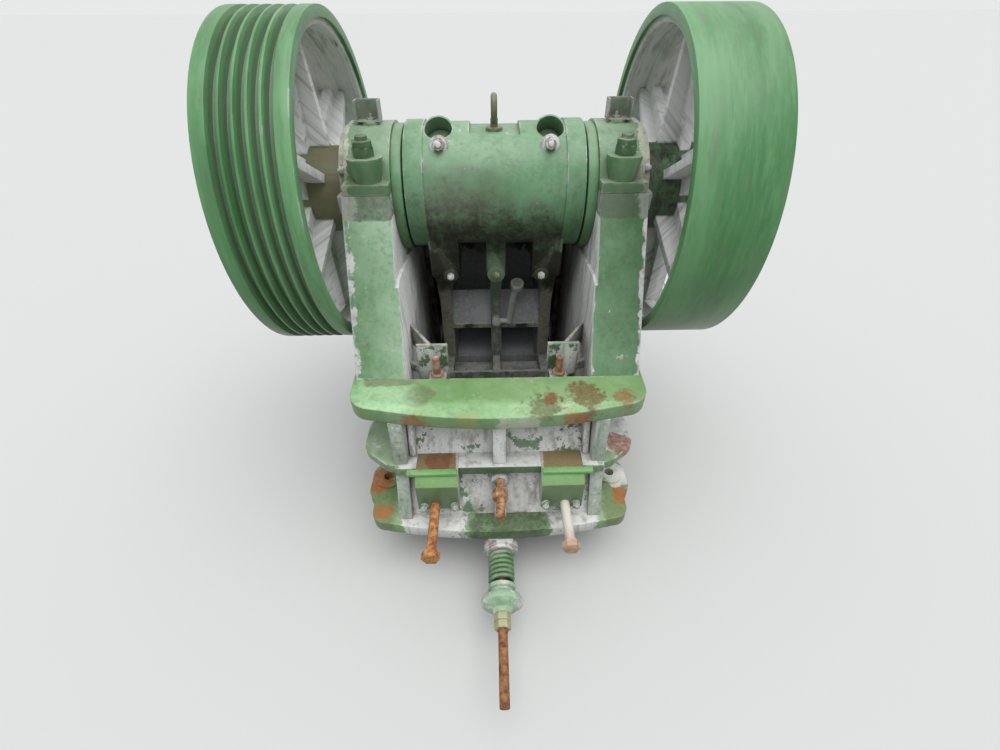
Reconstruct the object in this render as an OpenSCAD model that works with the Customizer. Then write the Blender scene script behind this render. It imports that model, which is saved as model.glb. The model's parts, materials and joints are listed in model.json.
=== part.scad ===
// Single-toggle jaw crusher with a grooved belt wheel and a plain flywheel.
// X runs along the shaft, Y runs from the toggle end (minus) to the fixed jaw (plus), Z is up.
// The origin is the middle of the anchor hole pattern, on the underside of the base flange and right
// under the shaft. The floor lies lower by the height of the timber bearers.

/* [Stand] */
// Height of the timber bearers under the base flange
stand_h = 150; // [110:5:250]
// Width of each bearer
bearer_w = 116; // [90:2:120]
// Distance from the shaft line back to the rear ends of the bearers
bearer_rear = 430; // [380:5:440]
// Distance from the shaft line forward to the front ends of the bearers
bearer_front = 520; // [450:5:540]
// Distance from the middle of the machine to the middle of a bearer
bearer_x = 232; // [225:1:240]
// Chamfer along the bearer edges
bearer_chamfer = 6; // [2:1:12]

/* [Frame] */
// Height of the shaft above the underside of the base flange
shaft_rise = 710; // [690:5:760]
// Clear width between the side walls at the crushing chamber
chamber_gap = 460; // [440:2:500]
// Thickness of the side walls at the chamber
wall_t = 32; // [26:1:38]
// Depth of the relief in the inner face of a side wall beside the barrel
wall_relief = 8; // [6:1:18]
// Lean of the rear wall and of the columns from the vertical
lean = 25.5; // [22:0.5:28]
// Distance from the shaft line back to the rear face of the housings
housing_rear = 176; // [166:2:190]
// Height of the housing split above the shaft
split_rise = 38; // [30:1:45]
// Thickness of the sloping rear wall, measured level
rear_wall_t = 38; // [28:1:46]
// Thickness of the columns behind the side walls, measured level
column_t = 46; // [36:1:60]
// Distance between the outer faces of the columns
column_span = 694; // [670:2:710]
// Thickness of the front wall
front_wall_t = 36; // [28:1:44]
// Height of the front wall top above the shaft
front_top_rise = 20; // [0:5:40]
// Thickness of the ribs on the front wall
front_rib_t = 26; // [18:1:34]
// Depth of the ribs on the front wall
front_rib_deep = 44; // [25:1:50]

// Reach of the level ribs outside the side walls
side_rib_out = 36; // [20:1:60]
// Thickness of the ribs outside the side walls
side_rib_t = 24; // [16:1:30]
// Depth of the small brackets beside the pitman below the shaft
lug_drop = 352; // [340:1:360]

/* [Base flange] */
// Thickness of the base flange
base_t = 34; // [26:1:42]
// Distance from the shaft line back to the middle of the rear edge
base_rear = 572; // [562:2:600]
// Distance from the shaft line forward to the front edge
base_front = 545; // [535:2:570]
// Half width of the base flange over the ears
ear_half = 358; // [352:1:370]
// Half width of the base flange between the ears
base_half = 300; // [285:1:312]
// Half distance between the anchor holes along X
anchor_half_x = 312; // [306:1:320]
// Distance from the shaft line to the anchor holes, to the rear and to the front
anchor_y = 393; // [388:1:400]
// Diameter of the anchor holes
anchor_d = 26; // [20:1:32]
// Rise of the machined pad round each anchor hole
pad_rise = 9; // [5:1:12]

/* [Rear beam and flange] */
// Thickness of the rear beam at its front edge
beam_t = 35; // [28:1:42]
// Depth of the beam's front edge below the shaft
beam_drop = 355; // [345:1:365]
// Distance from the shaft line back to the middle of the beam's edge
beam_rear = 490; // [480:1:500]
// Distance the beam sticks out past the columns at each end
beam_over = 8; // [4:1:20]
// Radius of the rear corners of the beam, seen from above
beam_corner = 58; // [40:2:64]
// Distance from the shaft line back to the beam's ends
beam_end_rear = 455; // [445:1:465]
// Depth of the mid flange top below the shaft
mid_drop = 520; // [510:1:530]
// Thickness of the mid flange
mid_t = 24; // [18:1:30]
// Distance from the shaft line back to the middle of the mid flange's edge
mid_rear = 492; // [486:1:500]
// Thickness of the ribs between the flanges
rear_rib_t = 32; // [24:1:38]

/* [Housings] */
// Radius of the rounded bearing caps
cap_r = 156; // [150:1:162]
// Distance between the outer faces of the bearing housings
housing_span = 710; // [700:2:716]
// Thickness of the cap's foot
cap_foot_t = 23; // [18:1:30]
// Height of the stud bosses above the shaft
boss_rise = 113; // [100:1:120]
// Distance the boss towards the fixed jaw is lower than the rear one
boss_lower = 34; // [20:2:40]
// Width of a stud boss at its top
boss_w = 84; // [70:1:90]
// Diameter of the cap studs
stud_d = 27; // [20:1:30]
// Width across the flats of the cap nuts
stud_nut_af = 41; // [36:1:46]
// Radius of the seal rings beside the barrel
ring_r = 150; // [148:1:154]
// Thickness of the seal rings
ring_t = 24; // [16:1:26]

/* [Shaft and wheels] */
// Diameter of the main journals
shaft_d = 110; // [95:1:120]
// Diameter of the eccentric journal
eccentric_d = 150; // [140:1:165]
// Throw of the eccentric journal
throw = 8; // [6:0.5:9]
// Radial running clearance of the journals
running_gap = 0.3; // [0.2:0.05:0.5]
// Outer diameter of both wheels
wheel_d = 750; // [720:5:760]
// Width of both wheels
wheel_w = 180; // [160:2:190]
// Gap between a bearing housing and the rim of the wheel beside it
wheel_clear = 12; // [8:1:24]
// Thickness of the rim at its edge
rim_edge_t = 22; // [16:1:28]
// Depth of the lip inside the edge of the rim
rim_lip = 34; // [26:1:40]
// Thickness of the rim between its lips
rim_mid_t = 28; // [24:1:34]
// Number of arms in each wheel
arm_count = 6; // [4:1:8]
// Width of an arm at the hub
arm_w = 92; // [70:1:110]
// Thickness of the flat of an arm
arm_t = 24; // [18:1:32]
// Diameter of the wheel hubs
hub_d = 204; // [180:2:220]
// Number of belt grooves
groove_count = 5; // [3:1:5]
// Pitch of the belt grooves
groove_pitch = 25.5; // [23:0.5:27]
// Depth of the belt grooves
groove_deep = 19; // [14:1:20]
// Width of a groove at its mouth
groove_mouth = 21; // [16:0.5:22]
// Width of a groove at its root
groove_root = 10; // [8:0.5:14]

/* [Swing jaw] */
// Radius of the pitman barrel
barrel_r = 145; // [140:1:148]
// Radius of the end bands on the barrel
band_r = 150; // [148:1:154]
// Width of the end bands on the barrel
band_w = 44; // [30:1:60]
// Gap between the barrel and the seal rings
side_gap = 5; // [5:0.5:8]
// Angle of the moving jaw from the vertical
jaw_angle = 19.3; // [18:0.1:20]
// Distance from the barrel's axis to the back of the moving jaw plate
jaw_back = 120; // [116:1:126]
// Width of the jaw plates
jaw_w = 406; // [380:2:408]
// Length of the moving jaw plate
moving_len = 735; // [700:5:740]
// Height of the fixed jaw plate
fixed_len = 600; // [560:5:620]
// Reach of the moving jaw plate above the barrel's axis, along the plate
moving_top = 26; // [10:2:36]
// Thickness of a jaw plate to the root of its teeth
jaw_t = 22; // [18:1:28]
// Height of the teeth
tooth_h = 12; // [8:1:16]
// Number of teeth across a plate
tooth_count = 12; // [8:1:14]
// Thickness of the pitman's web
web_t = 34; // [26:1:40]
// Width of the pitman's side ribs
side_rib_w = 34; // [28:1:44]
// Distance from the middle to the inner face of a side rib
side_rib_in = 134; // [130:1:150]
// Width of the pitman's middle rib
mid_rib_w = 32; // [24:1:40]
// Distance from the middle to a bolt pocket in the barrel
pocket_x = 130; // [125:1:138]
// Inner diameter of a bolt pocket
pocket_d = 64; // [50:1:68]
// Thickness of the wall round a bolt pocket
pocket_wall = 4; // [3:0.5:7]
// Height of the flat for the lifting eye below the top of the barrel
notch_deep = 17; // [12:1:20]
// Width of the flat for the lifting eye
notch_w = 118; // [90:2:130]
// Depth of the cross panel's top below the shaft
panel_top_drop = 333; // [320:1:340]
// Depth of the cross panel's lower edge below the shaft
panel_low_drop = 434; // [426:2:444]
// Depth of the top of the toggle box below the shaft
box_top_drop = 585; // [570:1:590]
// Depth of the underside of the toggle box below the shaft
box_low_drop = 668; // [660:1:674]

/* [Fixed jaw and cheeks] */
// Distance from the shaft line forward to the face of the fixed jaw
fixed_face = 418; // [412:1:425]
// Thickness of the cheek plates
cheek_t = 18; // [12:1:20]

/* [Toggle and tension gear] */
// Depth of the toggle plate below the shaft
toggle_drop = 613; // [608:1:618]
// Thickness of the toggle plate
toggle_t = 24; // [18:1:28]
// Width of the toggle plate
toggle_w = 340; // [300:5:380]
// Clearance of the toggle plate in the moving seat beyond the throw
seat_gap = 6; // [5:0.5:8]
// Half distance between the long adjusting bolts and between their blocks
bolt_half_x = 163; // [158:1:166]
// Diameter of the long adjusting bolts
bolt_d = 24; // [18:1:26]
// Length of the long bolts outside the blocks
bolt_out = 146; // [100:2:170]
// Distance the right bolt is screwed in further than the left one
bolt_less = 18; // [0:2:40]
// Width of an adjusting block
block_w = 104; // [96:1:106]
// Size of the bevel along the rear top edge of an adjusting block
block_bevel = 20; // [12:1:24]
// Depth of the tops of the adjusting blocks below the shaft
block_drop = 520; // [512:1:522]
// Depth of the centre bolt below the shaft
centre_drop = 575; // [568:1:582]
// Distance from the shaft line back to the faces of the adjusting blocks
block_rear = 534; // [520:1:540]
// Reach of the spring cup beyond the base flange
cup_out = 8; // [4:1:14]
// Length of the tension spring as fitted
spring_len = 86; // [76:1:96]
// Depth of the tension rod below the underside of the base flange
rod_drop = 45; // [42:1:52]
// Diameter of the tension rod
rod_d = 22; // [18:1:24]
// Distance from the shaft line back to the end of the tension rod
rod_rear = 932; // [900:2:960]
// Outer diameter of the tension spring
spring_d = 68; // [60:1:72]
// Diameter of the spring wire
spring_wire = 11; // [8:0.5:13]
// Number of spring turns
spring_turns = 6; // [4:0.5:8]

/* [Hidden] */

base_z = 0;
base_top = base_z + base_t;
shaft_z = base_z + shaft_rise;
slope = tan(lean);
wall_in = chamber_gap / 2;
wall_out = wall_in + wall_t;
relief_in = wall_in + wall_relief;
column_half = column_span / 2;
beam_half = column_half + beam_over;
housing_half = housing_span / 2;
split_z = shaft_z + split_rise;
beam_top = shaft_z - beam_drop;
column_foot = beam_top + 11;
mid_top = shaft_z - mid_drop;
front_top = shaft_z + front_top_rise;

barrel_z = shaft_z + throw;
barrel_half = relief_in - ring_t - side_gap;
toggle_z = shaft_z - toggle_drop;
centre_z = shaft_z - centre_drop;
centre_d = bolt_d - 2;
block_top = shaft_z - block_drop;
block_x = bolt_half_x - 8;
mid_front = mid_rear - 196;
rod_z = base_z - rod_drop;
wheel_r = wheel_d / 2;
wheel_in = housing_half + wheel_clear;
wheel_out = wheel_in + wheel_w;
stud_x = relief_in + boss_w / 2 + 8;
stud_y = housing_rear - 34;
jaw_total_t = jaw_t + tooth_h;
front_in = fixed_face + jaw_total_t;
front_face = front_in + front_wall_t;

// Level position of the sloping rear face at height z
function rear_y(z) = -housing_rear - (split_z - z) * slope;

// Extrudes a (Y, Z) outline along X from x0 to x1
module along_x(x0, x1) {
    translate([x0, 0, 0]) rotate([90, 0, 90]) linear_extrude(height = x1 - x0) children();
}

// Straight round bar along X
module bar_x(x0, x1, d, y, z) {
    translate([x0, y, z]) rotate([0, 90, 0]) cylinder(h = x1 - x0, d = d, $fn = 72);
}

// Straight round bar along Y, from y0 to y1
module bar_y(y0, y1, d, x, z) {
    translate([x, y1, z]) rotate([90, 0, 0]) cylinder(h = y1 - y0, d = d, $fn = 48);
}

// Hexagon nut or head along Y, from y0 to y1
module hex_y(y0, y1, af, x, z) {
    translate([x, y1, z]) rotate([90, 0, 0]) cylinder(h = y1 - y0, d = af / cos(30), $fn = 6);
}

// Shows a part on the left or on the right; the left is side -1
module on_side(side) {
    if (side < 0) mirror([1, 0, 0]) children();
    else children();
}

// Squared timber bearer under a side wall, with chamfered edges
module bearer(side) {
    c = bearer_chamfer;
    hw = bearer_w / 2;
    outline = [[-hw + c, 0], [hw - c, 0], [hw, c], [hw, stand_h - c], [hw - c, stand_h], [-hw + c, stand_h],
        [-hw, stand_h - c], [-hw, c]];
    color("tan") translate([side * bearer_x, bearer_front, base_z - stand_h]) rotate([90, 0, 0])
        linear_extrude(height = bearer_front + bearer_rear) polygon(outline);
}

module bearer_left() { bearer(-1); }
module bearer_right() { bearer(1); }

// Radius of the rounded ear corners of the base flange
ear_r = 40;
// Depth of the ears beyond the anchor hole along Y
ear_deep = 78;

// One ear of the base flange with rounded outer corners, reaching in to the middle
module ear_plan(y_far, y_near) {
    translate([0, y_far]) square([ear_half - ear_r, y_near - y_far]);
    translate([0, y_far + ear_r]) square([ear_half, y_near - y_far - 2 * ear_r]);
    for (y = [y_far + ear_r, y_near - ear_r]) translate([ear_half - ear_r, y]) circle(r = ear_r, $fn = 64);
}

// Plan of one half of the base flange, whose rear edge bulges between two steps
module base_half_plan() {
    step_y = -anchor_y - ear_deep;
    lobe_x = ear_half - 20;
    corner_y = -base_rear + 72;
    ear_plan(step_y, -anchor_y + 56);
    translate([0, corner_y]) square([lobe_x, step_y - corner_y + 8]);
    translate([lobe_x - ear_r, corner_y]) circle(r = ear_r, $fn = 64);
    polygon(concat([[0, corner_y], [lobe_x - ear_r, corner_y], [lobe_x - ear_r, corner_y - ear_r]],
        [for (i = [9:-1:0]) let(u = i / 10) [u * (lobe_x - ear_r), -base_rear + (72 - ear_r) * u * u]]));
    translate([0, -anchor_y]) square([base_half, anchor_y + base_front - ear_r]);
    translate([0, base_front - ear_r]) square([base_half - ear_r, ear_r]);
    translate([base_half - ear_r, base_front - ear_r]) circle(r = ear_r, $fn = 64);
    ear_plan(anchor_y - 56, anchor_y + ear_deep);
}

module base_flange() {
    open_rear = rear_y(base_top) + rear_wall_t;
    color("mediumseagreen") difference() {
        union() {
            translate([0, 0, base_z]) linear_extrude(height = base_t) union() {
                base_half_plan();
                mirror([1, 0]) base_half_plan();
            }
            for (sx = [-1, 1], sy = [-1, 1]) translate([sx * anchor_half_x, sy * anchor_y, base_z])
                cylinder(h = base_t + pad_rise, r = ear_r - 1, $fn = 64);
        }
        translate([-wall_in, open_rear, base_z - 1]) cube([chamber_gap, front_in - open_rear, base_t + 2]);
        for (sx = [-1, 1], sy = [-1, 1]) translate([sx * anchor_half_x, sy * anchor_y, base_z - 1])
            cylinder(h = base_t + pad_rise + 2, d = anchor_d, $fn = 48);
    }
}

// Outline of a side wall seen along the shaft
module wall_outline() {
    polygon([[rear_y(base_top), base_top], [front_face, base_top], [front_face, front_top],
        [housing_rear + 10, split_z], [-housing_rear, split_z]]);
}

// Rearward nose of a side wall that makes the outer rib between the flanges
module wall_nose() {
    polygon([[rear_y(base_top), base_top], [rear_y(mid_top - mid_t), mid_top - mid_t],
        [-mid_rear + 12, mid_top - mid_t], [-base_rear + 42, base_top]]);
    polygon([[rear_y(mid_top), mid_top], [rear_y(beam_top - beam_t), beam_top - beam_t],
        [-beam_end_rear - 10, beam_top - beam_t], [-mid_rear + 14, mid_top]]);
}

// Outline of the ribs that stiffen the outside of a side wall
module side_ribs() {
    lip = [[front_face - side_rib_t, base_top], [front_face, base_top], [front_face, front_top],
        [housing_rear + 30, split_z - 2], [housing_rear + 30, split_z - 2 - side_rib_t],
        [front_face - side_rib_t, front_top - side_rib_t]];
    polygon(lip);
    translate([-mid_front, mid_top - mid_t]) square([front_face + mid_front, mid_t]);
    polygon([[20, mid_top - 4], [20 + side_rib_t, mid_top - 4], [90 + side_rib_t, shaft_z - 120], [90, shaft_z - 120]]);
    translate([260, base_top]) square([side_rib_t, mid_top - base_top]);
    translate([-80, base_top]) square([side_rib_t, mid_top - base_top]);
}

// Column, side wall and lower bearing housing of one side are one casting
module side_wall(side) {
    seat_r = shaft_d / 2 + running_gap;
    color("seagreen") on_side(side) difference() {
        union() {
            along_x(relief_in, wall_out) wall_outline();
            along_x(wall_in, relief_in) intersection() {
                wall_outline();
                polygon([[-700, 0], [700, 0], [700, front_top], [housing_rear + 60, front_top],
                    [housing_rear + 20, shaft_z - 175], [-housing_rear - 60, shaft_z - 136], [-700, shaft_z - 290]]);
            }
            along_x(wall_in, wall_out) wall_nose();
            along_x(wall_out, column_half) polygon([[rear_y(column_foot), column_foot],
                [rear_y(column_foot) + column_t, column_foot], [-housing_rear + column_t, split_z],
                [-housing_rear, split_z]]);
            along_x(wall_out, housing_half) intersection() {
                union() {
                    translate([0, shaft_z]) circle(r = cap_r + 8, $fn = 96);
                    translate([-housing_rear, shaft_z]) square([2 * housing_rear, split_rise]);
                }
                translate([-housing_rear, shaft_z - 300]) square([2 * housing_rear, 300 + split_rise]);
            }
            along_x(wall_out, wall_out + side_rib_out) side_ribs();
        }
        bar_x(wall_in - 1, housing_half + 1, 2 * seat_r, 0, shaft_z);
    }
}

module side_wall_left() { side_wall(-1); }
module side_wall_right() { side_wall(1); }

// Front wall between the side walls, with level and upright ribs
module front_wall() {
    color("seagreen") union() {
        translate([-wall_in, front_in, base_top]) cube([chamber_gap, front_wall_t, front_top - base_top]);
        for (x = [-wall_in + 20, -front_rib_t / 2, wall_in - 20 - front_rib_t])
            translate([x, front_face, base_top]) cube([front_rib_t, front_rib_deep, front_top - base_top - 60]);
        for (z = [base_top + 180, base_top + 400])
            translate([-wall_in, front_face, z]) cube([chamber_gap, front_rib_deep - 8, front_rib_t]);
        translate([-wall_out, front_face, front_top - side_rib_t]) cube([2 * wall_out, front_rib_deep - 8, side_rib_t]);
    }
}

// Sloping rear wall between the side walls, bored for the long bolts and the centre bolt
module rear_wall() {
    top = beam_top - beam_t + 8;
    color("silver") difference() {
        along_x(-wall_in, wall_in) polygon([[rear_y(base_top), base_top],
            [rear_y(base_top) + rear_wall_t, base_top], [rear_y(top) + rear_wall_t, top], [rear_y(top), top]]);
        for (sx = [-1, 1]) bar_y(-block_rear, 0, bolt_d + 2 * running_gap, sx * bolt_half_x, toggle_z);
        bar_y(-block_rear, 0, centre_d + 2 * running_gap, 0, centre_z);
    }
}

// Plan of the rear beam, whose edge bulges to the rear
module beam_plan() {
    flat = beam_half - beam_corner;
    polygon(concat([[beam_half, 0]],
        [for (a = [0:10:80]) [flat + beam_corner * cos(a), -beam_end_rear + beam_corner * (1 - sin(a))]],
        [for (i = [9:-1:-9]) let(u = i / 10) [u * flat, -beam_rear + (beam_rear - beam_end_rear) * u * u]],
        [for (a = [100:10:180]) [-flat + beam_corner * cos(a), -beam_end_rear + beam_corner * (1 - sin(a))]],
        [[-beam_half, 0]]));
}

// Thick top beam across the rear, under the feet of both columns
module rear_beam() {
    low = beam_top - beam_t;
    color("mediumseagreen") difference() {
        intersection() {
            translate([0, 0, low - 1]) linear_extrude(height = beam_t + 60) beam_plan();
            along_x(-beam_half, beam_half) polygon([[-beam_rear - 5, low], [rear_y(low) + column_t, low],
                [rear_y(column_foot) + column_t, column_foot], [rear_y(column_foot) - 2, column_foot],
                [-beam_rear + 42, beam_top + 5], [-beam_rear - 5, beam_top]]);
        }
        along_x(-wall_out, wall_out) polygon([[rear_y(low - 20), low - 20], [0, low - 20], [0, column_foot + 20],
            [rear_y(column_foot + 20), column_foot + 20]]);
    }
}

// Mid flange with two ears beside the side walls
module mid_flange() {
    ear_x = ear_half - 50;
    color("seagreen") difference() {
        translate([0, 0, mid_top - mid_t]) linear_extrude(height = mid_t) union() {
            for (sx = [-1, 1]) hull() {
                translate([sx * (ear_x - 10), -mid_rear + 92]) circle(r = 50, $fn = 32);
                translate([sx * (ear_x - 48), -mid_rear + 60]) circle(r = 50, $fn = 32);
                translate([sx * (ear_x - 6), -mid_rear + 150]) circle(r = 46, $fn = 32);
            }
            for (sx = [-1, 1]) translate([sx * (wall_out + side_rib_out / 2 - 5) - side_rib_out / 2 - 5, -mid_rear + 90])
                square([side_rib_out + 10, mid_rear - 90 - mid_front - running_gap]);
            translate([-ear_x + 48, -mid_rear]) square([2 * ear_x - 96, 140]);
        }
        along_x(-wall_out, wall_out) polygon([[rear_y(mid_top - mid_t - 5), mid_top - mid_t - 5],
            [0, mid_top - mid_t - 5], [0, mid_top + 5], [rear_y(mid_top + 5), mid_top + 5]]);
        for (sx = [-1, 1]) translate([sx * block_x - block_w / 2 - 0.2, -block_rear, mid_top - mid_t - 1])
            cube([block_w + 0.4, block_rear, mid_t + 2]);
    }
}

// Middle rib between the beam and the mid flange, with two small fillet ribs
module upper_rear_ribs() {
    low = beam_top - beam_t;
    color("silver") union() {
        along_x(-rear_rib_t / 2, rear_rib_t / 2) polygon([[rear_y(mid_top), mid_top], [rear_y(low), low],
            [-beam_rear + 26, low], [-mid_rear + 10, mid_top]]);
        small_x = (block_x + block_w / 2 + wall_in) / 2;
        for (sx = [-1, 1]) along_x(sx * small_x - 8, sx * small_x + 8)
            polygon([[rear_y(mid_top), mid_top], [rear_y(low), low], [rear_y(low) - 40, low],
                [rear_y(mid_top) - 12, mid_top]]);
    }
}

// Middle rib between the mid flange and the base, with a round boss for the centre bolt
module lower_rear_ribs() {
    top = mid_top - mid_t;
    color("silver") difference() {
        union() {
            along_x(-rear_rib_t / 2, rear_rib_t / 2) polygon([[rear_y(base_top), base_top], [rear_y(top), top],
                [rear_y(top) - 16, top], [rear_y(base_top) - 12, base_top]]);
            intersection() {
                bar_y(rear_y(centre_z) - 24, rear_y(centre_z) + 20, 2 * centre_d, 0, centre_z);
                along_x(-wall_in, wall_in) polygon([[-base_rear, base_top], [rear_y(base_top), base_top],
                    [rear_y(top), top], [-base_rear, top]]);
            }
        }
        bar_y(-base_rear, 0, centre_d + 2 * running_gap, 0, centre_z);
    }
}

// Outline of a bearing cap seen along the shaft
module cap_outline() {
    intersection() {
        union() {
            translate([0, shaft_z]) circle(r = cap_r, $fn = 96);
            translate([-housing_rear, split_z]) square([2 * housing_rear, cap_foot_t]);
        }
        translate([-housing_rear, split_z + 1]) square([2 * housing_rear, cap_r]);
    }
}

// Height of the top of a cap boss: sy is -1 for the rear one
function boss_top(sy) = shaft_z + boss_rise - (sy > 0 ? boss_lower : 0);

// Tapered half-round boss that carries a stud
module stud_boss(sy) {
    low = split_z + cap_foot_t - 5;
    translate([stud_x, sy * stud_y, low]) cylinder(h = boss_top(sy) - low, r1 = boss_w / 2 - 12, r2 = boss_w / 2 - 2, $fn = 48);
}

module bearing_cap(side) {
    seat_r = shaft_d / 2 + running_gap;
    color("mediumseagreen") on_side(side) difference() {
        union() {
            along_x(relief_in, housing_half - 14) cap_outline();
            along_x(housing_half - 14, housing_half) intersection() {
                cap_outline();
                translate([0, shaft_z]) circle(r = cap_r - 10, $fn = 96);
            }
            intersection() {
                for (sy = [-1, 1]) stud_boss(sy);
                translate([relief_in, -housing_rear, split_z + 1])
                    cube([housing_half - relief_in, 2 * housing_rear, 200]);
            }
            translate([stud_x, -14, shaft_z + cap_r - 12]) cylinder(h = 16, d = 44, $fn = 48);
        }
        bar_x(wall_in, housing_half + 1, 2 * seat_r, 0, shaft_z);
        for (sy = [-1, 1]) translate([stud_x, sy * stud_y, split_z - 10]) cylinder(h = 200, d = stud_d + 2 * running_gap, $fn = 48);
        translate([stud_x, stud_y, boss_top(1)]) cylinder(h = 100, d = stud_nut_af / cos(30) + 4, $fn = 48);
    }
}

module bearing_cap_left() { bearing_cap(-1); }
module bearing_cap_right() { bearing_cap(1); }

// Two studs of one cap, each with a nut and a thin lock nut
module cap_studs(side) {
    color("darkgreen") on_side(side) for (sy = [-1, 1]) translate([stud_x, sy * stud_y, 0]) {
        translate([0, 0, split_z]) cylinder(h = boss_top(sy) + 42 - split_z, d = stud_d, $fn = 48);
        translate([0, 0, boss_top(sy)]) cylinder(h = 20, d = stud_nut_af / cos(30), $fn = 6);
        translate([0, 0, boss_top(sy) + 20]) rotate(14) cylinder(h = 13, d = stud_nut_af / cos(30), $fn = 6);
    }
}

module cap_studs_left() { cap_studs(-1); }
module cap_studs_right() { cap_studs(1); }

// Seal ring bolted on the inner face of a housing
module seal_ring(side) {
    color("seagreen") on_side(side) difference() {
        bar_x(relief_in - ring_t, relief_in, 2 * ring_r, 0, shaft_z);
        bar_x(relief_in - ring_t - 1, relief_in + 1, shaft_d + 2 * running_gap, 0, shaft_z);
    }
}

module seal_ring_left() { seal_ring(-1); }
module seal_ring_right() { seal_ring(1); }

// Box-shaped sheet guard, open to the rear and the top, round a grease nipple
module grease_guard(side) {
    z0 = shaft_z + cap_r + 4;
    color("olivedrab") on_side(side) translate([stud_x, -14, z0]) {
        cylinder(h = 6, d = 17 / cos(30), $fn = 6);
        translate([0, 0, 6]) cylinder(h = 9, d1 = 10, d2 = 6, $fn = 32);
        translate([-24, 14, 0]) cube([56, 3, 43]);
        for (x = [-24, 29]) translate([x, -18, 0]) cube([3, 32, 43]);
        translate([-24, -18, 0]) cube([56, 35, 1.5]);
    }
}

module grease_guard_left() { grease_guard(-1); }
module grease_guard_right() { grease_guard(1); }

// Toothed profile of a jaw plate, with its back on Y = 0 and the teeth towards plus Y
module tooth_profile() {
    pitch = jaw_w / tooth_count;
    polygon(concat([[-jaw_w / 2, 0], [-jaw_w / 2, jaw_t]],
        [for (i = [0:tooth_count - 1], k = [0:3]) let(x = -jaw_w / 2 + i * pitch)
            [[x + 0.14 * pitch, jaw_t], [x + 0.4 * pitch, jaw_t + tooth_h], [x + 0.6 * pitch, jaw_t + tooth_h],
            [x + 0.86 * pitch, jaw_t]][k]],
        [[jaw_w / 2, jaw_t], [jaw_w / 2, 0]]));
}

module fixed_jaw_plate() {
    color("dimgray") translate([0, front_in, front_top - 12 - fixed_len]) linear_extrude(height = fixed_len)
        mirror([0, 1]) tooth_profile();
}

// Puts children in the moving jaw's own frame: Y out of the jaw face, Z up along it
module jaw_frame() {
    translate([0, 0, barrel_z]) rotate([jaw_angle, 0, 0]) children();
}

module moving_jaw_plate() {
    color("dimgray") jaw_frame() translate([0, jaw_back, moving_top - moving_len])
        linear_extrude(height = moving_len) tooth_profile();
}

// Cheek plate between the jaws on the inner face of a side wall
module cheek_plate(side) {
    top_y = fixed_face - 6;
    color("dimgray") on_side(side) along_x(wall_in - cheek_t, wall_in) polygon([[250, base_top + 4], [top_y, base_top + 4],
        [top_y, front_top - 14], [housing_rear + 62, front_top - 14], [housing_rear + 16, shaft_z - 200]]);
}

module cheek_plate_left() { cheek_plate(-1); }
module cheek_plate_right() { cheek_plate(1); }

// Bracket on the inner face of a side wall: an end plate, two slanting stays and an upright stud on a lug
module lug_bracket(side) {
    color("seagreen") on_side(side) translate([wall_in, rear_y(shaft_z - lug_drop) + 62, shaft_z - lug_drop]) {
        translate([-105, 0, -58]) cube([78, 8, 126]);
        linear_extrude(height = 62) polygon([[0, 112], [0, 102], [-62, 0], [-71, 4]]);
        translate([0, 0, -36]) linear_extrude(height = 26) polygon([[0, 44], [0, 34], [-66, -6], [-73, 4]]);
        translate([-76, -20, -28]) cylinder(h = 12, r = 22, $fn = 48);
        translate([-98, -20, -28]) cube([44, 24, 12]);
        translate([-76, -20, -17]) cylinder(h = 13, d = 30 / cos(30), $fn = 6);
        translate([-76, -20, -17]) cylinder(h = 60, d = 19, $fn = 32);
    }
}

module lug_bracket_left() { lug_bracket(-1); }
module lug_bracket_right() { lug_bracket(1); }

toggle_rear_y = rear_y(toggle_z) + rear_wall_t + 62;
toggle_front_y = 34;
groove_r = toggle_t / 2 + 0.3;

// Block inside the rear wall whose groove takes the rear edge of the toggle plate
module toggle_block() {
    face = toggle_rear_y + 10;
    color("dimgray") difference() {
        along_x(-toggle_w / 2 - 20, toggle_w / 2 + 20) polygon([[rear_y(toggle_z - 45) + rear_wall_t, toggle_z - 45],
            [face, toggle_z - 45], [face, toggle_z + 45], [rear_y(toggle_z + 45) + rear_wall_t, toggle_z + 45]]);
        bar_x(-toggle_w, toggle_w, 2 * groove_r, toggle_rear_y, toggle_z);
        translate([-toggle_w, toggle_rear_y, toggle_z - groove_r]) cube([2 * toggle_w, 100, 2 * groove_r]);
    }
}

// Toggle plate with two rounded edges
module toggle_plate() {
    color("dimgray") along_x(-toggle_w / 2, toggle_w / 2) union() {
        translate([toggle_rear_y, toggle_z]) circle(d = toggle_t, $fn = 48);
        translate([toggle_front_y, toggle_z]) circle(d = toggle_t, $fn = 48);
        translate([toggle_rear_y, toggle_z - toggle_t / 2]) square([toggle_front_y - toggle_rear_y, toggle_t]);
    }
}

// Guide block on the rear wall that a long adjusting bolt passes through
module adjusting_block(side) {
    low = toggle_z - 15;
    slab = block_rear - block_bevel;
    color("seagreen") on_side(side) difference() {
        along_x(block_x - block_w / 2, block_x + block_w / 2) polygon([[rear_y(low), low], [-block_rear, low],
            [-block_rear, block_top - block_bevel - 2], [-slab, block_top], [rear_y(block_top), block_top]]);
        bar_y(-base_rear, 0, bolt_d + 2 * running_gap, bolt_half_x, toggle_z);
    }
}

module adjusting_block_left() { adjusting_block(-1); }
module adjusting_block_right() { adjusting_block(1); }

// Flat bars that lie on the adjusting blocks and stick out beside them
module shim_plates() {
    reach = wall_in - 3 - block_x + block_w / 2;
    color("limegreen") for (sx = [-1, 1]) on_side(sx)
        translate([wall_in - 3 - reach + 2, -block_rear + 16, block_top]) cube([reach - 2, 16, 9]);
}

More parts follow.
